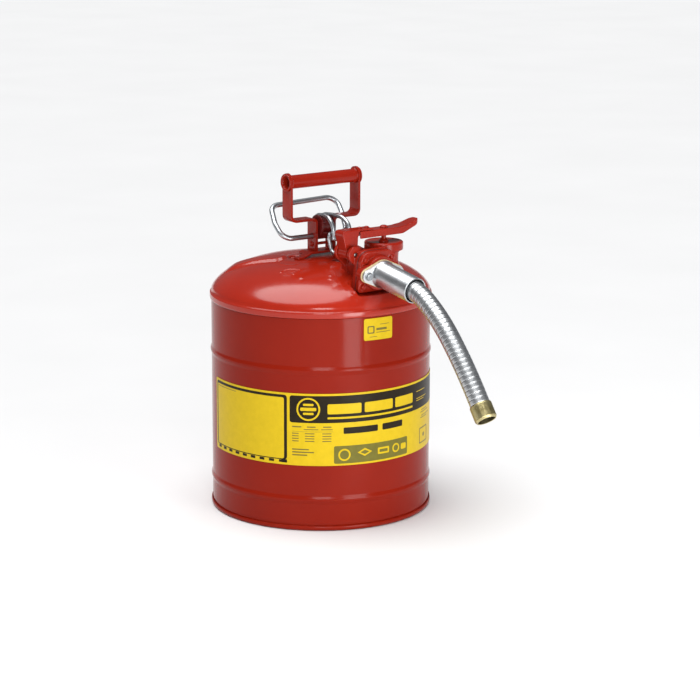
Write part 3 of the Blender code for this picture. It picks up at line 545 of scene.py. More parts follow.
def mix_of(tree, fac, a, b, blend="MIX"):
    made = add(tree, "ShaderNodeMix", data_type="RGBA", blend_type=blend)
    for socket, value in ((made.inputs[0], fac), (made.inputs[6], a), (made.inputs[7], b)):
        if isinstance(value, bpy.types.NodeSocket):
            tree.links.new(value, socket)
        elif hasattr(value, "__len__"):
            socket.default_value = (*value, 1.0)
        else:
            socket.default_value = value
    return made.outputs[2]


def range_of(tree, value, low, high, a=0.3, b=0.7):
    made = add(tree, "ShaderNodeMapRange")
    for key, number in (("From Min", a), ("From Max", b), ("To Min", low), ("To Max", high)):
        made.inputs[key].default_value = number
    tree.links.new(value, made.inputs["Value"])
    return made.outputs["Result"]


def bump_of(tree, height, strength, distance, under=None):
    made = add(tree, "ShaderNodeBump")
    made.inputs["Strength"].default_value = strength
    made.inputs["Distance"].default_value = distance
    tree.links.new(height, made.inputs["Height"])
    if under is not None:
        tree.links.new(under, made.inputs["Normal"])
    return made.outputs["Normal"]


def enamel(name, base, shade, rough=(0.16, 0.30), coat=0.35, specular=0.5, wave=0.10, chips=0.0):
    """Baked enamel over steel: slow colour drift, fine orange peel, dust and rubbed patches."""
    made, tree, shader = new_material(name)
    at = coordinates(tree)
    cloud = noise_of(tree, at, 14.0, 4.0, 0.55)
    fine = noise_of(tree, at, 620.0, 2.0)
    dust = noise_of(tree, at, 1900.0, 3.0, 0.7)
    colour = mix_of(tree, range_of(tree, cloud, 0.0, 1.0), base, shade)
    colour = mix_of(tree, range_of(tree, dust, 0.0, 0.10, 0.62, 0.80), colour, tuple(min(1.0, c * 1.5 + 0.02) for c in base))
    if chips:
        spots = noise_of(tree, at, 240.0, 5.0, 0.75)
        colour = mix_of(tree, range_of(tree, spots, 0.0, chips, 0.66, 0.72), colour, (0.20, 0.05, 0.04))
    tree.links.new(colour, shader.inputs["Base Color"])
    tree.links.new(range_of(tree, noise_of(tree, at, 34.0, 5.0, 0.6), rough[0], rough[1]), shader.inputs["Roughness"])
    slow = bump_of(tree, noise_of(tree, at, 34.0, 1.0), wave, 0.0006)
    tree.links.new(bump_of(tree, fine, 0.10, 0.00012, slow), shader.inputs["Normal"])
    shader.inputs["Coat Weight"].default_value = coat
    shader.inputs["Coat Roughness"].default_value = 0.06
    shader.inputs["Specular IOR Level"].default_value = specular
    return made


def plated(name, base, shade, rough=(0.2, 0.38), stretch=(1.0, 1.0, 1.0), turn=(0.0, 0.0, 0.0), grain=900.0, bump=0.12):
    """Plated or bare metal: cloudy plating, drawn streaks along the stretch, fine pits."""
    made, tree, shader = new_material(name)
    at = coordinates(tree)
    streaks = coordinates(tree, stretch, turn)
    cloud = noise_of(tree, at, 70.0, 5.0, 0.6)
    line = noise_of(tree, streaks, grain, 3.0, 0.6)
    colour = mix_of(tree, range_of(tree, cloud, 0.0, 1.0), base, shade)
    colour = mix_of(tree, range_of(tree, line, 0.0, 0.35, 0.45, 0.75), colour, tuple(c * 0.62 for c in shade))
    tree.links.new(colour, shader.inputs["Base Color"])
    tree.links.new(range_of(tree, line, rough[0], rough[1]), shader.inputs["Roughness"])
    tree.links.new(bump_of(tree, line, bump, 0.00015), shader.inputs["Normal"])
    shader.inputs["Metallic"].default_value = 1.0
    return made


def soft_matter(name, base, shade, rough, scale, bump, specular=0.4, speck=None):
    """Rubber, fibre, cork or print: a mottled colour with its own grain."""
    made, tree, shader = new_material(name)
    at = coordinates(tree)
    cloud = noise_of(tree, at, scale * 0.12, 4.0, 0.6)
    grain = noise_of(tree, at, scale, 4.0, 0.65)
    colour = mix_of(tree, range_of(tree, cloud, 0.0, 1.0), base, shade)
    if speck:
        colour = mix_of(tree, range_of(tree, grain, 0.0, 0.7, 0.52, 0.66), colour, speck)
    tree.links.new(colour, shader.inputs["Base Color"])
    tree.links.new(range_of(tree, grain, rough[0], rough[1]), shader.inputs["Roughness"])
    tree.links.new(bump_of(tree, grain, bump, 0.0002), shader.inputs["Normal"])
    shader.inputs["Specular IOR Level"].default_value = specular
    return made


# wall and dome are one red enamel; the wall's copy is painted darker (painted shade) and the dome's copy lighter
# (painted light), for how the overhead light falls
RED_WALL_SHADED_COPY = enamel("enamel_wall_shaded_copy", (0.250, 0.0125, 0.004), (0.230, 0.0108, 0.0035), (0.15, 0.20), 0.0, 0.12, 0.03)
RED_DOME_LIT_COPY = enamel("enamel_dome_lit_copy", (0.375, 0.018, 0.0058), (0.335, 0.0145, 0.0048), (0.15, 0.20), 0.10, 0.42, 0.05)
RED_PARTS = enamel("enamel_fittings", (0.315, 0.015, 0.0055), (0.265, 0.0115, 0.0045), (0.16, 0.28), 0.06, 0.20, 0.22)
RED_CAST = enamel("enamel_castings", (0.33, 0.0155, 0.0055), (0.265, 0.0115, 0.0045), (0.16, 0.30), 0.10, 0.22, 0.6)
# dark red enamel: on the trigger roller its darkness is painted shade for the shadow under the strap jog; the flange
# gasket wears it as its own dark colour
DARK_ENAMEL_SHADE_AND_GASKET = enamel("enamel_dark_roller_shade_and_gasket", (0.16, 0.010, 0.008), (0.09, 0.006, 0.006), (0.25, 0.45), 0.2, 0.4, 0.5)
RED_INSIDE = enamel("enamel_bore", (0.30, 0.014, 0.008), (0.2, 0.01, 0.006), (0.3, 0.5), 0.1, 0.4, 0.2)
ZINC_WIRE = plated("zinc_wire", (0.56, 0.585, 0.605), (0.42, 0.445, 0.47), (0.30, 0.42), grain=600.0, bump=0.04)
ZINC_TUBE = plated("zinc_tube", (0.66, 0.67, 0.68), (0.52, 0.535, 0.55), (0.28, 0.42), (7.0, 0.5, 7.0), (0.0, 0.0, 0.0), 110.0, 0.04)
ZINC_HOSE = plated("zinc_hose", (0.60, 0.615, 0.625), (0.49, 0.505, 0.52), (0.32, 0.42), grain=900.0, bump=0.02)
# dark zinc for the hose's grooves: painted shade standing for the shade inside them
ZINC_GROOVE_PAINTED_SHADE = plated("zinc_groove_painted_shade", (0.20, 0.205, 0.21), (0.11, 0.114, 0.118), (0.45, 0.6), grain=900.0, bump=0.05)
ZINC_SCREW = plated("zinc_screw", (0.46, 0.48, 0.50), (0.30, 0.32, 0.34), (0.22, 0.4), grain=700.0)
STEEL_BARE = plated("bare_steel", (0.54, 0.54, 0.54), (0.38, 0.38, 0.39), (0.25, 0.45), grain=800.0)
BRASS_TIP = plated("brass", (0.62, 0.545, 0.30), (0.34, 0.28, 0.115), (0.28, 0.48), (1.0, 1.0, 1.0), grain=420.0, bump=0.5)
# darker brass for the inside of the tip's bore: painted shade in the bore
BRASS_BORE_PAINTED_SHADE = plated("brass_bore_painted_shade", (0.16, 0.135, 0.07), (0.07, 0.06, 0.035), (0.45, 0.65), (1.0, 1.0, 1.0), grain=420.0, bump=0.3)
RUBBER = soft_matter("black_rubber", (0.030, 0.030, 0.031), (0.018, 0.018, 0.019), (0.55, 0.8), 1500.0, 0.2)
FIBRE = soft_matter("gasket_fibre", (0.045, 0.03, 0.026), (0.022, 0.018, 0.017), (0.7, 0.9), 1800.0, 0.4, 0.3)
CORK = soft_matter("cork", (0.74, 0.62, 0.36), (0.60, 0.47, 0.24), (0.7, 0.92), 1100.0, 0.6, 0.3, (0.34, 0.22, 0.10))
PRINT_YELLOW = soft_matter("print_yellow", (0.66, 0.46, 0.014), (0.60, 0.415, 0.012), (0.26, 0.38), 900.0, 0.04, 0.10)
PRINT_BLACK = soft_matter("print_black", (0.022, 0.016, 0.009), (0.015, 0.011, 0.006), (0.26, 0.38), 900.0, 0.04, 0.10)
PRINT_OLIVE = soft_matter("print_olive", (0.175, 0.155, 0.026), (0.14, 0.125, 0.022), (0.28, 0.4), 900.0, 0.04, 0.12)
PRINT_GREY = soft_matter("print_grey", (0.20, 0.155, 0.03), (0.15, 0.12, 0.025), (0.3, 0.4), 900.0, 0.04, 0.2)


# ---------------------------------------------------------------- camera first
camera = bpy.data.objects.new("camera", bpy.data.cameras.new("camera"))
bpy.context.scene.collection.objects.link(camera)
camera.location = (-1.8158, -2.5932, 0.94545)
camera.rotation_mode = "QUATERNION"
camera.rotation_quaternion = Vector((0.5587, 0.7979, -0.2266)).to_track_quat("-Z", "Y")
camera.data.lens = 123.79
camera.data.sensor_width = 36.0
camera.data.shift_x = 0.0418
camera.data.clip_end = 60.0
bpy.context.scene.camera = camera
bpy.context.scene.view_settings.view_transform = "Standard"

# ---------------------------------------------------------------- hose: the cord, its tip and its adapter
mouth = on_pour_axis(-ADAPTER_END)
hose_route = [on_pour_axis(-62.4), on_pour_axis(-72.0), mouth + np.array([0, 0, -0.4]), (0, -226.0, 319.6), (0, -243.0, 309.6), (0, -260.0, 297.4),
              (0, -276.0, 283.6), (0, -291.0, 268.6), (0, -305.0, 253.4), (0, -318.0, 238.2), (0, -330.0, 223.2), (0, -343.6, 205.2)]
hose_points = spline_through(hose_route, 9.0)


def corrugated(points, outer, inner, pitch, sides):
    """An interlocked strip-wound metal hose: a row of closed, overlapping crowns with narrow
    grooves, closed by its smooth bore."""
    line = np.array(spline_through(points, 0.4))
    length = np.r_[0.0, np.cumsum(np.linalg.norm(np.diff(line, axis=0), axis=1))]
    rings_in_all = round(length[-1] / pitch)
    pitch = length[-1] / rings_in_all
    steps = np.array([0.0, 0.035, 0.07, 0.11, 0.17, 0.25, 0.34, 0.44, 0.56, 0.66, 0.75, 0.83, 0.89, 0.93, 0.965])
    run = np.r_[(np.arange(rings_in_all)[:, None] + steps[None, :]).ravel(), rings_in_all] * pitch
    fine = np.stack([np.interp(run, length, line[:, c]) for c in range(3)], axis=1)
    slope = np.gradient(line, length, axis=0)
    tang = np.stack([np.interp(run, length, slope[:, c]) for c in range(3)], axis=1)
    tang /= np.linalg.norm(tang, axis=1)[:, None]
    side = np.array([1.0, 0.0, 0.0])
    angles = 2 * math.pi * np.arange(sides) / sides
    bm = bmesh.new()
    out_rings, in_rings = [], []
    for i in range(len(fine)):
        up = np.cross(side, tang[i])
        phase = (run[i] / pitch) % 1.0
        crown = abs(2 * phase - 1)
        near = min(phase, 1 - phase)
        r = outer - 0.12 * crown ** 3.0 - 0.26 * math.exp(-(near / 0.07) ** 2)
        ring = fine[i] + r * (np.cos(angles)[:, None] * side + np.sin(angles)[:, None] * up)
        out_rings.append([bm.verts.new(v * MM) for v in ring])
        if i % 15 == 0:
            ring = fine[i] + inner * (np.cos(angles)[:, None] * side + np.sin(angles)[:, None] * up)
            in_rings.append([bm.verts.new(v * MM) for v in ring])
    for rings in (out_rings, in_rings[::-1]):
        for a, b in zip(rings, rings[1:]):
            for k in range(sides):
                bm.faces.new((a[k], a[(k + 1) % sides], b[(k + 1) % sides], b[k]))
    for a, b in ((out_rings[0], in_rings[0]), (out_rings[-1], in_rings[-1])):
        for k in range(sides):
            bm.faces.new((a[k], a[(k + 1) % sides], b[(k + 1) % sides], b[k]))
    bmesh.ops.recalc_face_normals(bm, faces=bm.faces)
    return put("corrugated", mesh_of("corrugated", bm))


HOSE_SIDES, RING_STEPS = 72, 15
hose = finish_piece(corrugated(hose_route, HOSE_R, 10.4, 6.6, HOSE_SIDES), "hose_strip_wound", [ZINC_HOSE, ZINC_GROOVE_PAINTED_SHADE], "flex_hose", angle=70.0)
outside = len(hose.data.polygons) * RING_STEPS // (RING_STEPS + 1) - HOSE_SIDES
for face in hose.data.polygons:      # the grooves between the strip's turns get a dark zinc: painted shade in the grooves
    if face.index < outside and (face.index // HOSE_SIDES) % RING_STEPS in (0, 1, 14):
        face.material_index = 1

end = np.asarray(hose_points[-1], float)
heading = end - np.asarray(hose_points[-2], float)
heading /= np.linalg.norm(heading)
tip_rot = Vector(heading).to_track_quat("Z", "X").to_euler()


def knurled(name, profile, steps, loc, rot, low, high, depth, count):
    """A turned collar whose band between two heights carries a diamond knurl."""
    obj = turned(name, profile, None, steps, loc, rot)
    screw = obj.modifiers["Screw"]
    bpy.context.view_layer.update()
    graph = bpy.context.evaluated_depsgraph_get()
    data = bpy.data.meshes.new_from_object(obj.evaluated_get(graph))
    obj.modifiers.remove(screw)
    outer = max(r for r, _ in profile)
    for v in data.vertices:
        x, y, z = np.array(v.co) / MM
        r, a = math.hypot(x, y), math.atan2(y, x)
        if low < z < high and r > outer - 1.6:
            wave = abs(math.sin(count / 2 * a + z * 1.3)) * abs(math.sin(count / 2 * a - z * 1.3))
            k = (r - depth * (1 - wave)) / r
            v.co.x *= k
            v.co.y *= k
    obj.data = data
    return obj


tip_profile = [(11.4, 21.9), (11.9, 22.2), (12.6, 22.2), (13.1, 21.7), (13.6, 20.7), (13.9, 20.1)] + \
    [(14.3, 19.6 - 0.35 * i) for i in range(52)] + [(14.2, 1.3), (13.8, 0.6), (11.0, 0.35), (11.0, 21.6)]
tip = finish_piece(knurled("tip", tip_profile, 176, tuple(end), tuple(tip_rot), 1.8, 19.3, 0.34, 78),
                   "hose_tip_brass_ferrule", [BRASS_TIP, BRASS_BORE_PAINTED_SHADE], "hose_tip", angle=50.0)
for face in tip.data.polygons:      # the bore is rougher and painted much darker: painted shade inside it
    off = np.array(face.center) / MM - end
    reach = float(off @ heading)
    if math.sqrt(max(0.0, float(off @ off) - reach * reach)) < 11.3 and reach > 0.6:
        face.material_index = 1

diamond_holes = [circle(-23.5, 0, 2.5, 32), circle(23.5, 0, 2.5, 32)]
adapter = plate("adapter", [hull2([(0, 0, 18.0), (-23.5, 0, 8.6), (23.5, 0, 8.6)], 96), circle(0, 0, ADAPTER_BORE - 1.5, 96, 3.0, 363.0)] + diamond_holes,
                10.1, 13.6, None, POUR_AT, POUR_ROT)
adapter_tube = turned("adapter_tube", [(15.3, 81.2), (15.6, 81.9), (16.3, 82.0), (16.8, 81.6), (17.0, 80.9), (17.0, 17.0), (17.4, 15.4), (18.4, 14.0), (18.4, 11.0), (15.3, 11.0)],
                      None, 96, POUR_AT, POUR_ROT, True)
cut(adapter, adapter_tube, "UNION")
cut(adapter, cylinder("cut_adapter_bore", ADAPTER_BORE - 0.02, 5.0, 60.0, 96, POUR_AT, POUR_ROT))
adapter_look = finish_piece(adapter, "hose_adapter_sleeve", ZINC_TUBE, "hose_adapter", bevel=0.35, angle=35.0)


bush_look = finish_piece(turned("bush", smooth_profile([(15.0, 62.0), (15.0, 54.0), (10.0, 54.0), (10.0, 62.0)], passes=0), None, 72, POUR_AT, POUR_ROT),
             "hose_bush_ring", BRASS_TIP, "hose_bush", bevel=0.4, angle=40.0)

# ---------------------------------------------------------------- can: wall, dome, bottom
TURN = 240


def rounded_bead(zc, radius, sign, rows=18):
    out = []
    for k in range(rows + 1):
        w = -1 + 2 * k / rows
        out.append((radius + BEAD_OUT * (0.5 + 0.5 * math.cos(w * math.pi)) ** 0.85, zc - sign * w * BEAD_H * 1.15))
    return out


wall_out = ([(BODY_R, SEAM_Z - 0.5)] + rounded_bead(BEAD_Z[0], BODY_R, 1) + rounded_bead(BEAD_Z[1], BODY_R, 1)
            + [(BODY_R, 9.0), (BODY_R, 3.0)])
inside = BODY_R - WALL
wall_in = [(inside, 3.0)] + rounded_bead(BEAD_Z[1], inside, -1) + rounded_bead(BEAD_Z[0], inside, -1) + [(inside, SEAM_Z - 0.5)]
wall = turned("wall", wall_out + wall_in, None, TURN)
lock = []
for a, out in ((176.2, 0.0), (176.6, 0.55), (179.8, 0.65), (180.0, 0.25), (180.2, 0.65), (183.4, 0.55), (183.8, 0.0)):
    lock.append((math.radians(a), BODY_R + out))
bm = bmesh.new()
z_rows = [9.5, 30.0, 33.0, 49.0, 52.0, 120.0, 204.0, 207.0, 222.0, 225.0, 282.4]
rows = []
for z in z_rows:
    grow = sum(BEAD_OUT * (0.5 + 0.5 * math.cos(min(1.0, abs(z - zc) / (BEAD_H * 1.15)) * math.pi)) ** 0.85 for zc in BEAD_Z)
    line = [(a, r + grow) for a, r in lock] + [(a, BODY_R - 0.6 + grow) for a, _ in lock[::-1]]
    rows.append([bm.verts.new((r * math.sin(a) * MM, -r * math.cos(a) * MM, z * MM)) for a, r in line])
for a, b in zip(rows, rows[1:]):
    for k in range(len(a)):
        bm.faces.new((a[k], a[(k + 1) % len(a)], b[(k + 1) % len(a)], b[k]))
bm.faces.new(rows[0])
bm.faces.new(rows[-1])
bmesh.ops.recalc_face_normals(bm, faces=bm.faces)
lock_seam = put("lock_seam", mesh_of("lock_seam", bm))
# the wall, its seam and the bottom pan wear the darker copy of the red: painted shade on the upright sides
finish_piece(wall, "can_wall", RED_WALL_SHADED_COPY, "body_shell", angle=50.0)
seam = finish_piece(lock_seam, "can_lock_seam", RED_WALL_SHADED_COPY, [], bevel=0.25, angle=40.0, body="can")

bottom = ([(0.0, 9.2), (140.0, 9.2), (145.3, 9.2), (145.3, 2.6), (147.3, 2.6), (147.3, 6.8), (147.8, 7.4), (148.5, 7.2)]
          + [(147.0 + 2.0 * math.cos(math.radians(a)), 3.6 + 3.2 * math.sin(math.radians(a))) for a in range(70, -71, -10)]
          + [(147.0, 0.0), (145.0, 0.0), (143.9, 0.5), (143.4, 1.6), (143.4, 6.8), (142.6, 8.0), (0.0, 8.0)])
pan = turned("pan", bottom, None, TURN)
finish_piece(pan, "can_bottom_pan", RED_WALL_SHADED_COPY, "bottom_pan", angle=50.0)


# The dome is a grid round the axis: its pressed features are heights added to the turned curve.
def pad_half_width(y):
    return np.interp(-y, [40.0, 53.8, 92.4, 120.1, 136.0], [20.0, 25.5, 39.4, 46.2, 44.0])


def along(points, x, y):
    """Distance to a polyline."""
    best = np.full_like(x, 1e9)
    for (ax, ay), (bx, by) in zip(points, points[1:]):
        dx, dy = bx - ax, by - ay
        t = np.clip(((x - ax) * dx + (y - ay) * dy) / (dx * dx + dy * dy), 0, 1)
        best = np.minimum(best, np.hypot(x - ax - t * dx, y - ay - t * dy))
    return best


def dome_surface(x, y):
    r = np.hypot(x, y)
    z = DOME_Z + DOME_H * np.clip(1 - (r / DOME_R) ** DOME_P, 0, None) ** (1 / DOME_Q)
    rim = 1 - smoothstep(136.0, 143.0, r)
    d = np.abs(x) - pad_half_width(y)
    pad = 1.1 * (1 - smoothstep(-5.0, 14.0, d)) * smoothstep(-36.0, -54.0, y)
    ridge = 0.16 * np.exp(-(d / 1.4) ** 2) * smoothstep(-46.0, -58.0, y) * (1 - smoothstep(-122.0, -132.0, y) * 0.6)
    z = z + (pad + ridge) * (1 - smoothstep(132.0, 140.0, r))
    pocket = (1 - smoothstep(30.6, 34.4, np.abs(x))) * smoothstep(-108.5, -111.5, y)
    z = z * (1 - pocket) + np.minimum(z, 309.4 + 0.0 * z) * pocket
    for sign in (-1.0, 1.0):
        crease = along([(sign * 34.5, -126.0), (sign * 36.0, -135.0), (sign * 38.6, -141.0)], x, y)
        z = z + 0.9 * np.exp(-(crease / 1.3) ** 2)
        for px, py, rad, high in ((42.2, -129.8, 2.4, 1.3), (39.0, -131.6, 1.8, 1.7), (36.4, -133.0, 1.7, 1.2), (33.5, -134.3, 1.5, 0.9),
                                  (44.5, -84.6, 1.9, 0.8), (49.4, -91.5, 2.2, 0.7)):
            z = z + high * np.exp(-(((x - sign * px) ** 2 + (y - py) ** 2) / rad ** 2)) * rim
    # pressed marks on the crown: an open crescent, its bar, and a pair of short strokes
    for sx, sy in ((1.0, 1.0), (-1.0, -1.0)):
        crescent = along([(-87.4 * sx, -33.0 * sy), (-82.0 * sx, -29.8 * sy), (-74.3 * sx, -32.1 * sy), (-68.4 * sx, -38.0 * sy), (-65.5 * sx, -46.2 * sy)], x, y)
        bar = along([(-65.5 * sx, -46.2 * sy), (-70.0 * sx, -48.6 * sy), (-78.9 * sx, -50.5 * sy)], x, y)
        back_bar = along([(-78.9 * sx, -50.5 * sy), (-84.0 * sx, -43.0 * sy), (-87.4 * sx, -33.0 * sy)], x, y)
        z = z + 0.95 * np.exp(-(crescent / 1.35) ** 2) + 0.75 * np.exp(-(bar / 1.1) ** 2) + 0.35 * np.exp(-(back_bar / 1.1) ** 2)
    z = z + 1.0 * np.exp(-(((x + 78.3) ** 2 + (y + 66.8) ** 2) / 2.0 ** 2))
    # a pressed rib runs out behind each foot, and a pocket dips under the foot's rear half
    for sign in (-1.0, 1.0):
        rib = along([(sign * 58.0, 22.0), (sign * 84.0, 58.0), (sign * 96.0, 74.0)], x, y)
        z = z + 3.6 * (1 - smoothstep(10.0, 17.5, rib)) * (1 - smoothstep(112.0, 136.0, r))
        hollow = ((sign * x - 37.0) / 9.0) ** 2 + ((y - 6.0) / 9.0) ** 2
        z = z - 5.5 * (1 - smoothstep(0.45, 1.25, hollow))
    # a shallow pressed seat under the handle bridge, and a slot behind each foot
    seat = (1 - smoothstep(56.0, 64.0, np.hypot(x, (y - STRAP_Y) * 1.75)))
    z = z + 0.9 * seat
    for sign in (-1.0, 1.0):
        edge = along([(sign * 52.0, -24.0), (sign * 59.5, -25.4), (sign * 66.0, -20.0), (sign * 70.0, -9.2), (sign * 69.0, 4.0)], x, y)
        z = z + 0.6 * np.exp(-(edge / 1.8) ** 2)
    return z


radii = np.r_[0.0, np.arange(2.0, 60.0, 1.6), np.arange(60.0, 100.0, 1.15), np.arange(100.0, 138.0, 0.8), np.arange(138.0, 146.2, 0.7), 146.4]
count = 480
theta = 2 * math.pi * np.arange(count) / count
bm = bmesh.new()
grid = []
for r in radii[1:]:
    x, y = r * np.sin(theta), -r * np.cos(theta)
    z = dome_surface(x, y)
    grid.append([bm.verts.new((x[k] * MM, y[k] * MM, z[k] * MM)) for k in range(count)])
tail = ([(146.9, 292.9), (147.6, 292.5), (148.3, 292.3), (148.8, 291.6), (149.0, 290.6), (149.0, 286.0), (148.8, 284.8), (148.3, 283.9), (147.4, 283.6),
         (145.3, 283.6), (145.2, 294.0), (143.3, 297.0)]
        )
for r, z in tail:
    grid.append([bm.verts.new((r * math.sin(a) * MM, -r * math.cos(a) * MM, z * MM)) for a in theta])
for r in [139.5, 136.0, 133.0, 129.0] + list(np.arange(125.0, 78.0, -1.2)) + [72.0, 64.0, 56.0, 43.0, 30.0, 6.0]:
    x, y = r * np.sin(theta), -r * np.cos(theta)
    z = dome_surface(x, y) - WALL - 0.6
    grid.append([bm.verts.new((x[k] * MM, y[k] * MM, z[k] * MM)) for k in range(count)])
for a, b in zip(grid, grid[1:]):
    for k in range(count):
        corners = (a[k], b[k], b[(k + 1) % count], a[(k + 1) % count])
        middle = sum((v.co for v in corners), Vector()) / 4 / MM
        if math.hypot(middle.x - NECK_X, middle.y - NECK_Y) > 17.6:   # the fill hole, inside the neck's wall
            bm.faces.new(corners)
top = bm.verts.new((0, 0, float(dome_surface(np.array([0.0]), np.array([0.0]))[0]) * MM))
low = bm.verts.new((0, 0, (dome_height(0) - WALL - 0.6) * MM))
for k in range(count):
    bm.faces.new((top, grid[0][k], grid[0][(k + 1) % count]))
    bm.faces.new((low, grid[-1][(k + 1) % count], grid[-1][k]))
bmesh.ops.delete(bm, geom=[v for v in bm.verts if not v.link_faces], context="VERTS")
bmesh.ops.recalc_face_normals(bm, faces=bm.faces)
dome = put("dome", mesh_of("dome", bm))
finish_piece(dome, "can_dome", RED_DOME_LIT_COPY, "dome_top", angle=60.0)

# ---------------------------------------------------------------- labels: a sheet and its printed shapes
LABEL_R = BODY_R + 0.35


def wrapped(name, shapes, radius, thick):
    """Flat outlines in (degrees, mm) bent round the can: each shape is a list of outlines."""
    bm = bmesh.new()
    for i, outlines in enumerate(shapes):
        flat = plate(f"{name}_{i}", [[(math.radians(a) * BODY_R, z) for a, z in line] for line in outlines], 0.0, thick)
        bm.from_mesh(flat.data)
        bpy.data.objects.remove(flat, do_unlink=True)
    for u in np.arange(-300.0, 240.0, 3.5):
        geom = bm.verts[:] + bm.edges[:] + bm.faces[:]
        if min((v.co.x for v in bm.verts)) / MM < u < max((v.co.x for v in bm.verts)) / MM:
            bmesh.ops.bisect_plane(bm, geom=geom, dist=1e-8, plane_co=(u * MM, 0, 0), plane_no=(1, 0, 0))
    for v in bm.verts:
        a, r = v.co.x / (BODY_R * MM), radius * MM + v.co.z
        v.co = (r * math.sin(a), -r * math.cos(a), v.co.y)
    bmesh.ops.recalc_face_normals(bm, faces=bm.faces)
    return put(name, mesh_of(name, bm))


def box_shape(a0, a1, z0, z1, radius=0.0, steps=6):
    k = math.degrees(1.0 / BODY_R)
    u0, u1 = a0 / k, a1 / k
    if radius <= 0:
        path = [(u0, z0), (u1, z0), (u1, z1), (u0, z1)]
    else:
        path = [tuple(p) for p in fillet([(u0, z0), (u1, z0), (u1, z1), (u0, z1)], radius, steps, closed=True)]
    return [(u * k, z) for u, z in path]


def round_shape(a, z, radius, steps=40):
    k = math.degrees(1.0 / BODY_R)
    return [(a + k * radius * math.cos(2 * math.pi * (i + 0.37) / steps), z + radius * math.sin(2 * math.pi * (i + 0.37) / steps)) for i in range(steps)]


def turned_square(a, z, half, tall):
    k = math.degrees(1.0 / BODY_R)
    return [(a - k * half, z), (a, z - tall), (a + k * half, z), (a, z + tall)]


label = wrapped("label", [[box_shape(*LABEL_A, *LABEL_Z, 2.5)]], LABEL_R, 0.28)
finish_piece(label, "label_sheet", PRINT_YELLOW, "label_band", angle=40.0)
PRINT_R = LABEL_R + 0.26
z_low, z_high = LABEL_Z
black = [
    # left panel: heavy top and right rule, thin left rule
    [[*[(a, z) for a, z in box_shape(-103.6, -52.3, 95.0, 182.0, 4.2)]],
     [*[(a, z) for a, z in box_shape(-102.6, -53.9, 90.8 + 5.4, 178.4, 2.6)]][::-1]],
    # headline block
    [box_shape(-50.9, 77.0 - 2.5, 145.8, 182.0, 3.4)],
    # product line: two plain bars
    [box_shape(-23.4, -4.6, 130.6, 139.2, 1.6)], [box_shape(-1.9, 11.6, 130.6, 139.2, 1.6)],
]
dashes = [[box_shape(a, a + 2.9, 91.2, 94.6, 0.3)] for a in np.arange(-101.5, -56.0, 5.6)]
black += dashes + [[box_shape(-55.4, -52.3, 91.0, 95.4, 0.8)]]
yellow = [
    [round_shape(-41.3, 164.1, 0.01 + 15.4), round_shape(-41.3, 164.1, 13.2)[::-1]],
    [box_shape(-45.4, -37.2, 161.9, 166.3, 1.6)], [box_shape(-44.0, -38.6, 168.6, 171.6, 1.2)], [box_shape(-44.0, -38.6, 156.6, 159.6, 1.2)],
    [box_shape(-31.6, -14.0, 157.6, 171.0, 2.0)], [box_shape(-12.2, 4.6, 157.6, 171.0, 2.0)], [box_shape(6.4, 20.2, 157.6, 171.0, 2.0)],
    [box_shape(-31.6, 20.2, 151.0, 153.6, 0.8)],
    [box_shape(24.0, 34.0, 169.6, 170.4)], [box_shape(24.0, 36.0, 160.0, 160.8)], [box_shape(24.0, 33.0, 157.2, 158.0)],
]
grey = []
for a0, a1 in ((-49.6, -44.8), (-42.0, -37.6), (-33.8, -29.6)):
    grey.append([box_shape(a0, a1, 139.6, 141.2)])
for a0, a1 in ((-43.6, -36.2), (-34.8, -29.0)):
    grey.append([box_shape(a0, a1, 136.4, 137.6)])
grey.append([box_shape(-49.6, -28.6, 133.8, 134.2)])
for z in (130.8, 127.4, 124.0, 120.6):
    for a0, a1 in ((-49.6, -46.2), (-43.0, -38.2), (-34.2, -29.6)):
        grey.append([box_shape(a0, a1, z, z + 1.3)])
for z, a1 in ((109.2, -41.0), (105.4, -38.4), (101.6, -41.8)):
    grey.append([box_shape(-49.6, a1, z, z + 1.7)])
for z, a0, a1 in ((141.4, 30.0, 38.0), (138.4, 29.0, 40.0), (133.6, 30.0, 42.0), (130.8, 29.0, 38.0)):
    grey.append([box_shape(a0, a1, z, z + 1.2)])
grey.append([box_shape(-102.0, -84.0, 175.4, 176.2)])
grey += [[box_shape(27.6, 38.6, 96.0, 118.0, 2.4), box_shape(28.4, 37.8, 97.8, 116.2, 1.4)[::-1]], [round_shape(33.1, 107.0, 3.0, 24)]]
olive = [[box_shape(-28.3, 15.6, 90.8, 114.6, 2.2)]]
on_olive = [
    [round_shape(-22.9, 102.4, 8.2)], [turned_square(-12.0, 104.2, 10.4, 5.4)], [box_shape(-4.6, 2.4, 98.6, 107.4, 1.2)], [round_shape(7.0, 102.8, 6.2)],
    [box_shape(10.6, 14.4, 98.8, 106.8, 2.0)],
]
in_shapes = [
    [round_shape(-22.9, 102.4, 6.0)], [turned_square(-12.0, 104.2, 6.4, 3.0)], [box_shape(-3.6, 1.4, 101.0, 105.0, 0.8)], [round_shape(7.0, 102.8, 4.0)],
    [box_shape(-14.6, -9.6, 94.2, 95.8)],
]
finish_piece(wrapped("black", black, PRINT_R, 0.07), "label_print_black", PRINT_BLACK, [], body="can")
finish_piece(wrapped("olive", olive, PRINT_R, 0.07), "label_print_olive", PRINT_OLIVE, [], body="can")
finish_piece(wrapped("grey", grey, PRINT_R, 0.07), "label_print_fine", PRINT_GREY, [], body="can")
finish_piece(wrapped("yellow", yellow, PRINT_R + 0.05, 0.07), "label_print_yellow", PRINT_YELLOW, [], body="can")
finish_piece(wrapped("on_olive", on_olive, PRINT_R + 0.05, 0.07), "label_print_marks", PRINT_YELLOW, [], body="can")
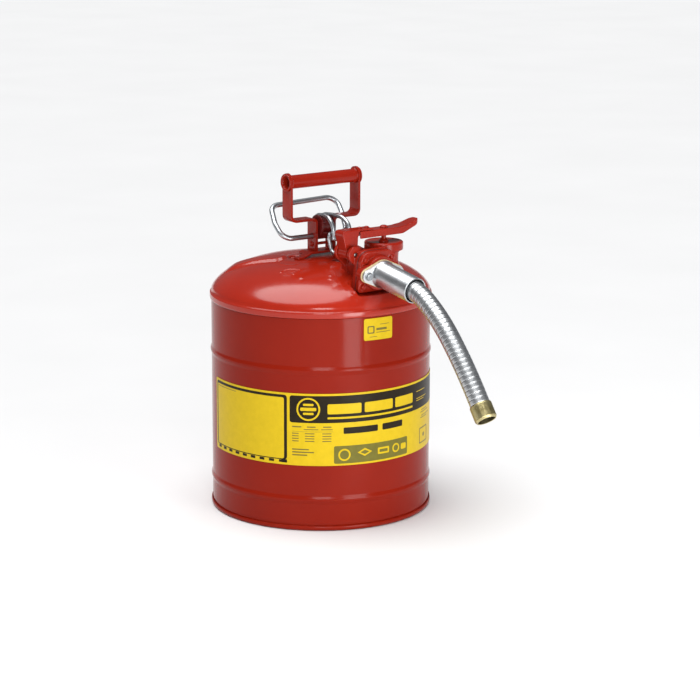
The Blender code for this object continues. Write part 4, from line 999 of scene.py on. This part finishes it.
finish_piece(wrapped("in_shapes", in_shapes, PRINT_R + 0.10, 0.07), "label_print_mark_centres", PRINT_OLIVE, [], body="can")

small = wrapped("small", [[box_shape(*SMALL_LABEL_A, *SMALL_LABEL_Z, 2.6)]], LABEL_R, 0.28)
finish_piece(small, "small_label_sheet", PRINT_YELLOW, "small_label", angle=40.0)
small_print = [[box_shape(-10.9, -6.9, 261.4, 271.6, 1.8), box_shape(-10.2, -7.6, 263.0, 270.0, 1.0)[::-1]],
               [box_shape(-5.8, 0.4, 265.2, 268.2, 0.5)], [box_shape(-3.8, 1.8, 272.4, 273.2)], [box_shape(-5.8, 2.4, 262.0, 262.9)],
               [box_shape(-9.6, -5.4, 256.6, 257.4)]]
finish_piece(wrapped("small_print", small_print, PRINT_R, 0.07), "small_label_print", PRINT_GREY, [], body="can")

# ---------------------------------------------------------------- handle
bracket = strip("bracket",
                fillet([(-46, dome_height(48) + 2.3), (-36, dome_height(38) + 2.4), (-24, BRACKET_Z), (24, BRACKET_Z),
                        (36, dome_height(38) + 2.4), (46, dome_height(48) + 2.3)], (0, 5, 5, 5, 5, 0), 8),
                3.0, BRACKET_W, STRAP_Y, None)
for sign in (-1.0, 1.0):
    notch = [tuple(p) for p in fillet([(sign * 29.0, -1.0), (sign * 60.0, -5.0), (sign * 60.0, 20.0), (sign * 29.0, 20.0)][::int(sign)], (4.0, 0.5, 0.5, 4.0), 6, closed=True)]
    cut(bracket, plate(f"cut_foot_{int(sign)}", [notch], 320.0, 360.0, None, cutter=True))
finish_piece(bracket, "handle_bridge", RED_PARTS, "handle_bracket", bevel=0.9, segments=4, angle=40.0)

top = STRAP_TOP - 10.0
arch = ([(-20.0, -1.0), (-20.0, 20.0), (20.0, 20.0), (20.0, -1.0), (10.0, -1.0)] + circle(0, 0, 10.0, 40, 0, 180) + [(-10.0, -1.0)])
for side, sign in (("left", -1.0), ("right", 1.0)):
    path = fillet([(sign * LEG_X, BRACKET_Z + 1.6), (sign * LEG_X, JOG_Z), (sign * STRAP_X, JOG_Z), (sign * STRAP_X, STRAP_TOP + 2)], (0, 5.0, 8.0, 0), 12)
    strap = strip("strap_" + side, path, STRAP_T, STRAP_W, STRAP_Y, None)
    cut(strap, plate("cut_strap_end_" + side, [arch], -6, 6, None, (sign * STRAP_X, STRAP_Y, top), YZ_ROT, True))
    cut(strap, cylinder("cut_bar_hole_" + side, BAR_R + GAP, -6, 6, 64, (sign * STRAP_X, STRAP_Y, BAR_Z), X_ROT))
    cut(strap, cylinder("cut_trigger_hole_" + side, TRIGGER_R + 0.4, -6, 6, 40, (sign * LEG_X, PIVOT_Y, PIVOT_Z), X_ROT))
    cut(strap, cylinder("cut_tie_hole_" + side, 2.3, -6, 6, 32, (sign * LEG_X, STRAP_Y, 356.5), X_ROT))
    finish_piece(strap, "handle_side_strap_" + side, RED_PARTS, "handle_strap_" + side, bevel=0.7, segments=4, angle=40.0)

x0 = STRAP_X + STRAP_T / 2
flare = [(9.6, x0 + 2.2), (10.6, x0 + 2.35), (11.4, x0 + 2.1), (11.8, x0 + 1.5), (11.7, x0 + 0.9), (11.2, x0 + 0.45), (10.2, x0 + 0.3), (BAR_R, x0 + 0.3)]
bead_in = [(BAR_R, x0 - STRAP_T - 0.3), (10.0, x0 - STRAP_T - 0.5), (10.3, x0 - STRAP_T - 1.1), (10.0, x0 - STRAP_T - 1.8), (BAR_R, x0 - STRAP_T - 2.4)]
grip_in = [(BAR_R - 1.5, x0 - 3.0), (BAR_R - 1.2, x0 - 0.4), (BAR_R - 0.3, x0 + 1.4)]
half = flare + bead_in
grip = turned("grip", half + [(r, -z) for r, z in half[::-1]] + [(r, -z) for r, z in grip_in[::-1]] + grip_in, None, 72, (0, STRAP_Y, BAR_Z), X_ROT)
finish_piece(grip, "handle_tube_grip", RED_PARTS, "handle_grip", angle=45.0)

tie = LEG_X + STRAP_T / 2


def rivet_head(r_head, base, high, steps=7):
    return [(r_head * math.sin(math.pi / 2 * i / steps), base + high * math.cos(math.pi / 2 * i / steps)) for i in range(steps + 1)]


tie_profile = rivet_head(3.5, tie + 0.3, 1.9) + [(2.0, tie + 0.3), (2.0, -tie - 0.3)] + [(r, -z) for r, z in rivet_head(3.5, tie + 0.3, 1.9)[::-1]]
finish_piece(turned("tie", tie_profile, None, 40, (0, STRAP_Y, 356.5), X_ROT), "handle_leg_tie", RED_PARTS, "leg_tie_rivet", angle=45.0)

# ---------------------------------------------------------------- trigger and pull link
tilt = math.radians(TRIGGER_TILT)
loop = fillet([(-1.0, 0.0), (-61.5, 0.0), (-61.0, 28.0), (-52.0, 58.5), (56.0, 62.5), (51.0, 34.0), (41.0, 0.0), (1.0, 0.0)],
              (0, 14.0, 20.0, 16.0, 14.0, 20.0, 14.0, 0), 16)
loop = [np.array([-1.0, 0.0])] + [np.array([x, 0.0]) for x in (-10.0, -20.0, -30.0, -40.0)] + loop[1:-1] + [np.array([x, 0.0]) for x in (20.0, 10.0)] + [np.array([1.0, 0.0])]
trigger_points = [(x, PIVOT_Y + d * math.sin(tilt), PIVOT_Z + d * math.cos(tilt)) for x, d in loop]
finish_piece(tube("trigger", trigger_points, TRIGGER_R, 32), "trigger_loop_wire", ZINC_WIRE, "trigger_wire", angle=60.0)

cam_outline = hull2([(CAM_Y, CAM_Z, CAM_R), (PIVOT_Y, PIVOT_Z, 5.4)], 96)
cam = plate("cam", [cam_outline, circle(PIVOT_Y, PIVOT_Z, TRIGGER_R + GAP, 40)], -10.6, 10.6, None, (0, 0, 0), YZ_ROT)
groove = turned("cut_cam_groove", [(CAM_R + 4, 8.4), (CAM_R + 4, -8.4), (CAM_CORE_R, -8.4), (CAM_CORE_R, 8.4)], None, 96, (0, CAM_Y, CAM_Z), X_ROT, True)
keep = plate("cut_cam_keep", [hull2([(CAM_Y + 1.5, CAM_Z - 10.0, 5.0), (PIVOT_Y, PIVOT_Z, 5.0)], 48)], -12, 12, None, (0, 0, 0), YZ_ROT, True)
cut(groove, keep)
cut(cam, groove)
# the roller's dark red is painted shade: it stands for the shadow it sits in between the legs
finish_piece(cam, "trigger_roller", DARK_ENAMEL_SHADE_AND_GASKET, "trigger_cam", cast=0.34, soften=4)

wrap_r = CAM_CORE_R + 0.4 + BAIL_R


def on_wrap(x, angle):
    a = math.radians(angle)
    return (x, CAM_Y + wrap_r * math.cos(a), CAM_Z + wrap_r * math.sin(a))


turn_at = np.array(on_wrap(0, 30.0))
turn_dir = np.array([0.0, math.sin(math.radians(30.0)), -math.cos(math.radians(30.0))])
near = [on_wrap(-5.0, a) for a in (95.0, 80.0, 65.0, 50.0)]
back = [tuple(turn_at + turn_dir * 5.0 * math.sin(b) + np.array([-5.0 * math.cos(b), 0, 0])) for b in (math.pi * k / 8 for k in range(9))]
far = [on_wrap(5.0, a) for a in (50.0, 65.0, 80.0)]
near_run = [(-5.0, -36.6, 364.8), (-5.0, -37.2, 370.8), (-5.0, -36.9, 377.2), (-5.0, -35.1, 383.2), (-5.0, -31.2, 389.2),
            (-5.0, -24.8, 393.9), (-5.0, -17.4, 395.9), (-5.0, -11.6, 395.9)]
far_run = [(5.2, -13.4, 395.8), (6.6, -21.0, 396.0), (8.2, -29.0, 395.8), (9.6, -36.4, 394.4),
           (10.4, -43.0, 391.0), (10.6, -48.4, 386.4), (10.6, -50.8, 380.8), (10.6, -50.8, 373.5), (10.6, -49.6, 365.4),
           (10.6, -47.6, 357.4), (9.6, -45.6, 352.4), (7.2, -44.6, 350.7), (3.4, -44.5, 350.5)]
bail = spline_through(near_run + near + back + far + far_run, 1.2)
finish_piece(tube("bail", bail, BAIL_R, 32), "pull_link_bail", ZINC_WIRE, "pull_bail", angle=60.0)

ring_tilt = math.radians(35.0)
ring = [(-5.0 + 6.3 * math.cos(math.radians(a)), -37.1 + 6.3 * math.sin(math.radians(a)) * math.cos(ring_tilt),
         371.2 + 6.3 * math.sin(math.radians(a)) * math.sin(ring_tilt)) for a in range(-140, 161, 20)]
hook = spline_through(ring + [(-11.0, -34.6, 369.6), (-10.8, -34.7, 366.4), (-10.4, -36.2, 360.4), (-10.0, -38.0, 355.0),
                              (-9.9, -41.4, 351.5), (-8.9, -43.7, 350.7), (-6.6, -44.4, 350.5), (-3.2, -44.5, 350.5)], 0.9)
finish_piece(tube("hook", hook, HOOK_R, 28), "pull_link_hook", ZINC_WIRE, "hook_link", angle=60.0)

# ---------------------------------------------------------------- manifold and its flanges
screw_at = [(-21.0, 17.2), (21.0, 17.2), (-21.4, -18.6), (21.4, -18.6)]
flange_outline = [tuple(p) for p in fillet([(-28.5, -27.0), (28.5, -27.0), (28.5, 27.6), (-28.5, 27.6)], (5.0, 5.0, 15.0, 15.0), 14, closed=True)]
POUR_BORE = 13.0


def pour_local(x, y):
    return np.array(POUR_AT) + np.array([x, -y * math.sin(POUR), y * math.cos(POUR)])


manifold = plate("manifold", [flange_outline], -14.0, -8.1, None, POUR_AT, POUR_ROT)
cut(manifold, cylinder("cut_chamber_body", 19.0, -56.0, -12.0, 72, POUR_AT, POUR_ROT), "UNION")
cut(manifold, cylinder("cut_chamber_ring", 19.9, -40.0, -36.0, 72, POUR_AT, POUR_ROT), "UNION")
cut(manifold, block("cut_base_body", (-19.0, -112.0, 322.0), (19.0, -74.0, 344.0), cutter=True), "UNION")
for label, y0, y1 in (("front", -117.2, -112.2), ("rear", -87.8, -82.8)):
    ear = plate("cut_ear_" + label, [hull2([(HINGE_X, HINGE_Z, EAR_R), (-8.0, 348.0, 8.0), (-12.0, 340.0, 5.0)], 72)],
                -y1, -y0, None, (0, 0, 0), SIDE_ROT, True)
    cut(manifold, ear, "UNION")
    if label == "front":
        cut(manifold, turned("cut_ear_boss", [(3.1, 117.3), (7.0, 117.3), (7.8, 116.6), (8.2, 115.0), (3.1, 115.0)], None, 48, (HINGE_X, 0, HINGE_Z), SIDE_ROT, True), "UNION")
    cut(manifold, cylinder("cut_ear_hole_" + label, 2.9, -y1 - 1, -y0 + 1, 40, (HINGE_X, 0, HINGE_Z), SIDE_ROT))
cut(manifold, cylinder("cut_ear_room", 3.1, 115.0, 118.5, 40, (HINGE_X, 0, HINGE_Z), SIDE_ROT))
cut(manifold, turned("cut_valve_bore", [(0, 1.0), (POUR_BORE + 0.5, 1.0), (POUR_BORE + 0.5, -20.0), (9.5, -20.0), (9.5, -47.0),
                                        (3.4, -47.0), (3.4, -60.0), (0, -60.0)], None, 64, POUR_AT, POUR_ROT, True))
neck_room = cylinder("cut_neck_room", 21.2, 300.0, 400.0, 96, (NECK_X, NECK_Y, 0))
lid_room = cylinder("cut_lid_room", LID_R + 0.7, LID_Z0 - 3.0, 400.0, 96, (NECK_X, NECK_Y, 0))
for room in (neck_room, lid_room):
    cut(manifold, room)
finish_piece(manifold, "manifold_casting", RED_CAST, "manifold", cast=0.5, soften=9)

flange_gasket = plate("gasket", [flange_outline, circle(0, 0, POUR_BORE + 0.45, 64, 3.0, 363.0)] + [circle(x, y, 2.3, 24) for x, y in screw_at],
                      -7.9, -6.2, None, POUR_AT, POUR_ROT)
cut(flange_gasket, lid_room)
finish_piece(flange_gasket, "flange_gasket_sheet", DARK_ENAMEL_SHADE_AND_GASKET, "flange_gasket", bevel=0.15, segments=2, angle=40.0)

pour_flange = plate("flange", [flange_outline], -6.0, 0.0, None, POUR_AT, POUR_ROT)
cut(pour_flange, plate("cut_boss", [hull2([(0, 0, 22.6), (-23.5, 0, 9.3), (23.5, 0, 9.3)], 96)], -3.0, 8.0, None, POUR_AT, POUR_ROT, True), "UNION")
for i, (x, y) in enumerate(screw_at):
    at = tuple(pour_local(x, y))
    cut(pour_flange, turned(f"cut_lobe_{i}", [(0, 0.75), (4.8, 0.75), (5.9, 0.2), (6.2, -1.0), (0, -1.0)], None, 40, at, POUR_ROT, True), "UNION")
    cut(pour_flange, cylinder(f"cut_lobe_room_{i}", 4.9, 0.15, 10.0, 40, at, POUR_ROT))
cut(pour_flange, cylinder("cut_flange_bore", POUR_BORE, -8.0, 10.0, 64, POUR_AT, POUR_ROT))
cut(pour_flange, lid_room)
finish_piece(pour_flange, "pour_flange_casting", RED_CAST, "pour_flange", cast=0.4, soften=9)

for i, (x, y) in enumerate(screw_at):
    name = f"flange_screw_{i + 1}"
    head = [(0, 2.0), (1.0, 2.0), (1.5, 2.9), (2.6, 2.6), (3.3, 1.7), (3.6, 0.5), (3.5, 0.2), (2.0, 0.2), (2.0, -10.6), (0, -11.0)]
    screw = turned(name, smooth_profile(head, passes=1), None, 40, tuple(pour_local(x, y)), POUR_ROT)
    finish_piece(screw, name + "_head", RED_PARTS, name, angle=50.0)

adapter_gasket = plate("cork", [hull2([(0, 0, 18.9), (-23.5, 0, 9.5), (23.5, 0, 9.5)], 96), circle(0, 0, POUR_BORE, 64, 3.0, 363.0)] + diamond_holes,
                       8.2, 10.0, None, POUR_AT, POUR_ROT)
finish_piece(adapter_gasket, "adapter_gasket_cork", CORK, "adapter_gasket", bevel=0.2, segments=2, angle=40.0)

for label, x in (("left", -23.5), ("right", 23.5)):
    hexagon = [(5.0 * math.cos(math.radians(60 * k + 12)), 5.0 * math.sin(math.radians(60 * k + 12))) for k in range(6)]
    head = plate("hex_" + label, [hexagon], 14.1, 17.4, None, (x, POUR_Y, POUR_Z), POUR_ROT)
    chamfer = turned("cut_hex_" + label, [(0, 17.5), (4.0, 17.5), (5.2, 16.6), (5.2, 13.0), (0, 13.0)], None, 48, (x, POUR_Y, POUR_Z), POUR_ROT, True)
    cut(head, chamfer, "INTERSECT")
    shank = turned("shank_" + label, [(0, 14.3), (5.4, 14.3), (5.6, 14.1), (5.6, 13.8), (2.2, 13.8), (2.2, -1.5), (0, -2.0)], None, 40, (x, POUR_Y, POUR_Z), POUR_ROT)
    both = join("adapter_screw_" + label, head, shank)
    finish_piece(both, "adapter_hex_screw_" + label, ZINC_SCREW, "adapter_screw_" + label, bevel=0.25, angle=35.0)

# ---------------------------------------------------------------- inside the pour valve
finish_piece(turned("disc", [(0, -14.6), (9.0, -14.6), (9.6, -14.9), (10.2, -14.6), (12.0, -14.6), (12.4, -15.2), (12.4, -18.6), (3.2, -18.6), (3.2, -18.9), (0, -18.9)],
                    None, 72, POUR_AT, POUR_ROT), "valve_poppet_disc", STEEL_BARE, "valve_disc", bevel=0.2, angle=40.0)
finish_piece(turned("seal", [(12.2, -18.9), (12.3, -19.3), (12.0, -19.7), (3.6, -19.7), (3.6, -18.9)], None, 72, POUR_AT, POUR_ROT),
             "valve_seat_seal", RUBBER, "valve_seal", bevel=0.15, angle=40.0)
finish_piece(turned("stem", [(0, -19.2), (3.0, -19.2), (3.0, -79.4), (2.4, -80.0), (0, -80.0)], None, 40, POUR_AT, POUR_ROT),
             "valve_stem_rod", STEEL_BARE, "valve_stem", angle=40.0)
nut = plate("nut", [[(7.4 * math.cos(math.radians(60 * k)), 7.4 * math.sin(math.radians(60 * k))) for k in range(6)], circle(0, 0, 3.5, 40, 5.0, 365.0)],
            -62.0, -56.3, None, POUR_AT, POUR_ROT)
cut(nut, turned("cut_nut", [(0, -56.0), (7.6, -56.0), (7.6, -61.2), (6.6, -62.2), (0, -62.2)], None, 48, POUR_AT, POUR_ROT, True), "INTERSECT")
finish_piece(nut, "valve_packing_nut", BRASS_TIP, "packing_nut", bevel=0.25, angle=40.0)

fin = [tuple(p) for p in fillet([(-35.4, 341.9), (-47.2, 365.6), (-51.4, 365.6), (-53.4, 341.2)], (1.5, 2.0, 2.0, 1.5), 8, closed=True)]
clevis = plate("clevis", [fin], -6.6, 6.6, None, (0, 0, 0), YZ_ROT)
cut(clevis, block("cut_clevis_gap_back", (-4.4, -20.0, -14.0), (4.4, 30.0, 40.0), cutter=True, loc=tuple(on_pour_axis(101.0)), rot=(POUR, 0, 0)))
cut(clevis, block("cut_clevis_gap_top", (-4.4, -60.0, 7.0), (4.4, 60.0, 40.0), cutter=True, loc=tuple(on_pour_axis(81.5)), rot=(POUR, 0, 0)))
cut(clevis, cylinder("cut_clevis_bore", 3.3, -90.0, -70.0, 40, POUR_AT, POUR_ROT))
cut(clevis, cylinder("cut_hook_hole", 3.4, -12.0, 12.0, 40, (0, PIN_Y, PIN_Z), X_ROT))
finish_piece(clevis, "valve_stem_clevis", RED_CAST, "stem_clevis", cast=0.26, soften=4)

coil = []
for k in range(5 * 40 + 1):
    a = 2 * math.pi * k / 40
    centre = on_pour_axis(63.3 + (73.6 - 63.3) * k / 200)
    coil.append(tuple(centre + 5.8 * (math.cos(a) * np.array([1, 0, 0]) + math.sin(a) * np.array([0, -math.sin(POUR), math.cos(POUR)]))))
spring = finish_piece(tube("valve_spring", coil, 0.8, 14), "valve_return_spring", STEEL_BARE, "valve_spring", angle=60.0)
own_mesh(spring)

finish_piece(turned("screen", [(0, 286.0), (7.4, 286.0), (7.4, 327.0), (8.4, 327.0), (8.4, 285.0), (0, 285.0)], None, 60, (0, -92.0, 0)),
             "pour_screen_cup", STEEL_BARE, "pour_screen", bevel=0.2, angle=40.0)

# ---------------------------------------------------------------- fill neck and lid
neck_profile = [(18.4, 359.2), (19.0, 359.4), (20.2, 359.4), (20.7, 359.0), (20.8, 358.2), (20.8, 357.0), (20.2, 356.3), (19.8, 355.6), (19.4, 350.0), (19.3, 342.0),
                (18.8, 338.0), (18.5, 334.0), (18.5, 306.0), (16.8, 306.0), (16.8, 353.8), (18.4, 353.8)]
finish_piece(turned("neck", neck_profile, None, 96, (NECK_X, NECK_Y, 0)), "fill_neck", RED_PARTS, "filler_neck", angle=40.0, bevel=0.2)
skirt = turned("skirt", [(19.0, 346.0), (21.0, 338.6), (23.2, 334.4), (26.8, 331.4), (26.8, 324.0), (18.6, 322.0)], None, 96, (NECK_X, NECK_Y, 0))
cut(skirt, block("cut_skirt", (-60.0, -160.0, 300.0), (60.0, -60.0, 309.0), cutter=True))
finish_piece(skirt, "fill_neck_weld", RED_CAST, [], cast=0.6, soften=6, body="can")
finish_piece(turned("fill_screen", [(0, 237.2), (15.2, 237.2), (15.2, 355.4), (18.0, 355.4), (18.0, 354.1), (16.2, 354.1), (16.2, 236.0), (0, 236.0)], None, 72, (NECK_X, NECK_Y, 0)),
             "fill_screen_basket", STEEL_BARE, "fill_screen", bevel=0.2, angle=40.0)
finish_piece(turned("lid_gasket", smooth_profile([(20.6, 361.3), (20.6, 359.8), (17.6, 359.8), (17.6, 361.3)], passes=0), None, 72, (NECK_X, NECK_Y, 0)),
             "lid_seal_ring", RUBBER, "lid_gasket", bevel=0.3, angle=40.0)
lid_profile = [(0, LID_Z1 + 1.2), (9.0, LID_Z1 + 1.2), (16.0, LID_Z1 + 1.3), (19.8, LID_Z1 + 1.6), (21.8, LID_Z1 + 2.2), (23.2, LID_Z1 + 2.3), (24.6, LID_Z1 + 1.9), (25.5, LID_Z1 + 0.9),
               (LID_R, LID_Z1 - 0.6), (LID_R, LID_Z0 - 0.4), (25.5, LID_Z0 - 1.8), (24.7, LID_Z0 - 2.3), (23.6, LID_Z0 - 2.0), (23.2, LID_Z0 - 0.2), (0, LID_Z0 - 0.2)]
finish_piece(turned("lid", smooth_profile(lid_profile, passes=1), None, 120, (NECK_X, NECK_Y, 0)), "fill_lid_cap", RED_PARTS, "fill_lid", angle=45.0)

ARM_Y = (NECK_Y - 9.3, NECK_Y + 9.3)
arm_outline = ([tuple(p) for p in fillet([(HINGE_X - 9.0, HINGE_Z), (-34.6, 364.6), (-39.8, 385.0), (-39.8, 391.0), (9.5, 391.0), (9.5, 388.9),
                                          (-13.6, 388.9), (-15.6, 381.0), (-16.2, 371.0), (HINGE_X + 9.0, HINGE_Z)],
                                         (0, 4.0, 4.0, 4.5, 0.8, 0.8, 3.0, 4.0, 4.0, 0), 8)]
               + circle(HINGE_X, HINGE_Z, 9.0, 32, 0, -180)[1:-1])
arm = plate("arm", [arm_outline], -ARM_Y[1], -ARM_Y[0], None, (0, 0, 0), SIDE_ROT)
arm_room = [(-33.4, 345.0), (-32.6, 365.0), (-37.9, 385.4), (-37.9, 389.1), (20.0, 389.1), (20.0, 345.0)]
cut(arm, plate("cut_arm_room", [arm_room], -ARM_Y[1] + 2.0, -ARM_Y[0] - 2.0, None, (0, 0, 0), SIDE_ROT, True))
cut(arm, cylinder("cut_arm_pin", 2.7, 70.0, 130.0, 40, (HINGE_X, 0, HINGE_Z), SIDE_ROT))
for label, x in (("left", -7.0), ("right", 4.0)):
    cut(arm, cylinder("cut_arm_rivet_" + label, 2.3, 380.0, 400.0, 32, (x, NECK_Y, 0)))
finish_piece(arm, "lid_hinge_arm", RED_CAST, "lid_arm", cast=0.3, soften=30)

LEVER_W = 20.0
lever_side = [tuple(p) for p in fillet([(-12.6, 378.8), (-12.6, 388.5), (50.0, 388.3), (64.0, 390.2), (84.6, 396.6), (85.8, 393.2), (80.0, 388.4), (57.0, 379.2)],
                                       (1.0, 1.0, 12.0, 12.0, 1.4, 1.4, 6.0, 12.0), 8, closed=True)]
lever = plate("lever", [lever_side], -NECK_Y - LEVER_W / 2, -NECK_Y + LEVER_W / 2, None, (0, 0, 0), SIDE_ROT)
lever_room = [(-30.0, 370.0), (-30.0, 386.5), (50.0, 386.3), (62.0, 387.8), (76.0, 392.6), (79.0, 390.6), (64.0, 376.0)]
cut(lever, plate("cut_lever_room", [lever_room], -NECK_Y - LEVER_W / 2 + 1.8, -NECK_Y + LEVER_W / 2 - 1.8, None, (0, 0, 0), SIDE_ROT, True))
tip_plan = ([(-40.0, NECK_Y - 10.4), (48.0, NECK_Y - 10.4)] + circle(76.0, NECK_Y, 9.2, 40, -84, 84) + [(48.0, NECK_Y + 10.4), (-40.0, NECK_Y + 10.4)])
cut(lever, plate("cut_lever_plan", [tip_plan], 340.0, 420.0, None, cutter=True), "INTERSECT")
cut(lever, cylinder("cut_lid_rivet", 3.4, 370.0, 400.0, 40, (NECK_X, NECK_Y, 0)))
for label, x in (("left", -7.0), ("right", 4.0)):
    cut(lever, cylinder("cut_lever_rivet_" + label, 2.3, 380.0, 400.0, 32, (x, NECK_Y, 0)))
finish_piece(lever, "lid_lift_lever", RED_CAST, "lid_lever", cast=0.3, soften=26)

lid_rivet_profile = rivet_head(5.6, 388.8, 3.0) + [(3.2, 388.8), (3.2, 374.0), (5.0, 372.8), (6.4, 371.6), (6.6, LID_Z1 - 0.6), (0, LID_Z1 - 0.8)]
finish_piece(turned("lid_rivet", lid_rivet_profile, None, 48, (NECK_X, NECK_Y, 0)), "lid_centre_rivet", RED_PARTS, "lid_rivet", angle=50.0)
for label, x in (("left", -7.0), ("right", 4.0)):
    profile = rivet_head(3.6, 391.2, 2.0) + [(2.0, 391.2), (2.0, 386.1), (3.4, 386.1), (2.4, 384.8), (0, 384.6)]
    finish_piece(turned("lever_rivet_" + label, profile, None, 40, (x, NECK_Y, 0)), "lever_rivet_dome_" + label, RED_PARTS, "lever_rivet_" + label, angle=50.0)

pin = [(0, 116.4), (2.0, 116.4), (2.4, 116.0), (2.4, 82.5), (4.0, 82.5), (4.0, 81.3), (3.2, 80.4), (0, 80.0)]
finish_piece(turned("pin", pin, None, 40, (HINGE_X, 0, HINGE_Z), SIDE_ROT), "lid_hinge_rod", STEEL_BARE, "lid_hinge_pin", bevel=0.2, angle=40.0)
spring_line = [(HINGE_X + 3.0, -104.2, HINGE_Z + 18.0), (HINGE_X + 3.6, -104.2, HINGE_Z + 12.0), (HINGE_X + 4.4, -104.2, HINGE_Z + 6.0)]
for k in range(5 * 36 + 1):
    a = 2 * math.pi * k / 36
    spring_line.append((HINGE_X + 4.4 * math.cos(a), -104.2 + 12.0 * k / 180, HINGE_Z - 4.4 * math.sin(a)))
spring_line += [(HINGE_X + 4.4, -92.2, HINGE_Z + 6.0), (HINGE_X + 6.0, -92.2, HINGE_Z + 10.0), (HINGE_X + 8.0, -92.2, HINGE_Z + 14.0)]
finish_piece(tube("lid_spring", spring_line, 0.8, 14), "lid_torsion_spring", STEEL_BARE, "lid_spring", angle=60.0)

for shape in list(PARTS.objects):
    bpy.data.objects.remove(shape, do_unlink=True)

# ---------------------------------------------------------------- floor and light
floor_material, tree, shader = new_material("studio_floor")
tree.links.new(mix_of(tree, range_of(tree, noise_of(tree, coordinates(tree), 3.0, 3.0), 0.0, 1.0), (0.77, 0.77, 0.77), (0.75, 0.75, 0.75)), shader.inputs["Base Color"])
shader.inputs["Roughness"].default_value = 0.75
shader.inputs["Specular IOR Level"].default_value = 0.15
bm = bmesh.new()
bmesh.ops.create_grid(bm, x_segments=24, y_segments=24, size=22.0)
floor = bpy.data.objects.new("floor", mesh_of("floor", bm))
floor.data.materials.append(floor_material)
bpy.context.scene.collection.objects.link(floor)
floor.location.z = -0.0004


def softbox(name, at, aim, size, power, colour=(1.0, 1.0, 1.0)):
    light = bpy.data.lights.new(name, "AREA")
    light.shape = "RECTANGLE"
    light.size, light.size_y = size
    light.energy = power
    light.color = colour
    made = bpy.data.objects.new(name, light)
    bpy.context.scene.collection.objects.link(made)
    made.location = at
    made.rotation_mode = "QUATERNION"
    made.rotation_quaternion = (Vector(aim) - Vector(at)).to_track_quat("-Z", "Y")
    made.visible_camera = False
    return made


overhead = bpy.data.lights.new("overhead", "SUN")
overhead.energy = 3.5
overhead.angle = math.radians(58.0)
made = bpy.data.objects.new("overhead", overhead)
bpy.context.scene.collection.objects.link(made)
made.rotation_mode = "QUATERNION"
made.rotation_quaternion = Vector((0.16, -0.13, -0.95)).to_track_quat("-Z", "Y")
made.location = (0, 0, 3)
softbox("key", (-1.45, -2.25, 1.10), (0.0, 0.0, 0.28), (0.9, 0.9), 24.0)
softbox("band", (-0.02, -1.05, 0.26), (0.0, 0.0, 0.26), (0.42, 0.52), 5.4)

world = bpy.data.worlds.new("studio")
bpy.context.scene.world = world
world.use_nodes = True
world.node_tree.nodes["Background"].inputs["Color"].default_value = (0.93, 0.95, 1.0, 1.0)
world.node_tree.nodes["Background"].inputs["Strength"].default_value = 0.16
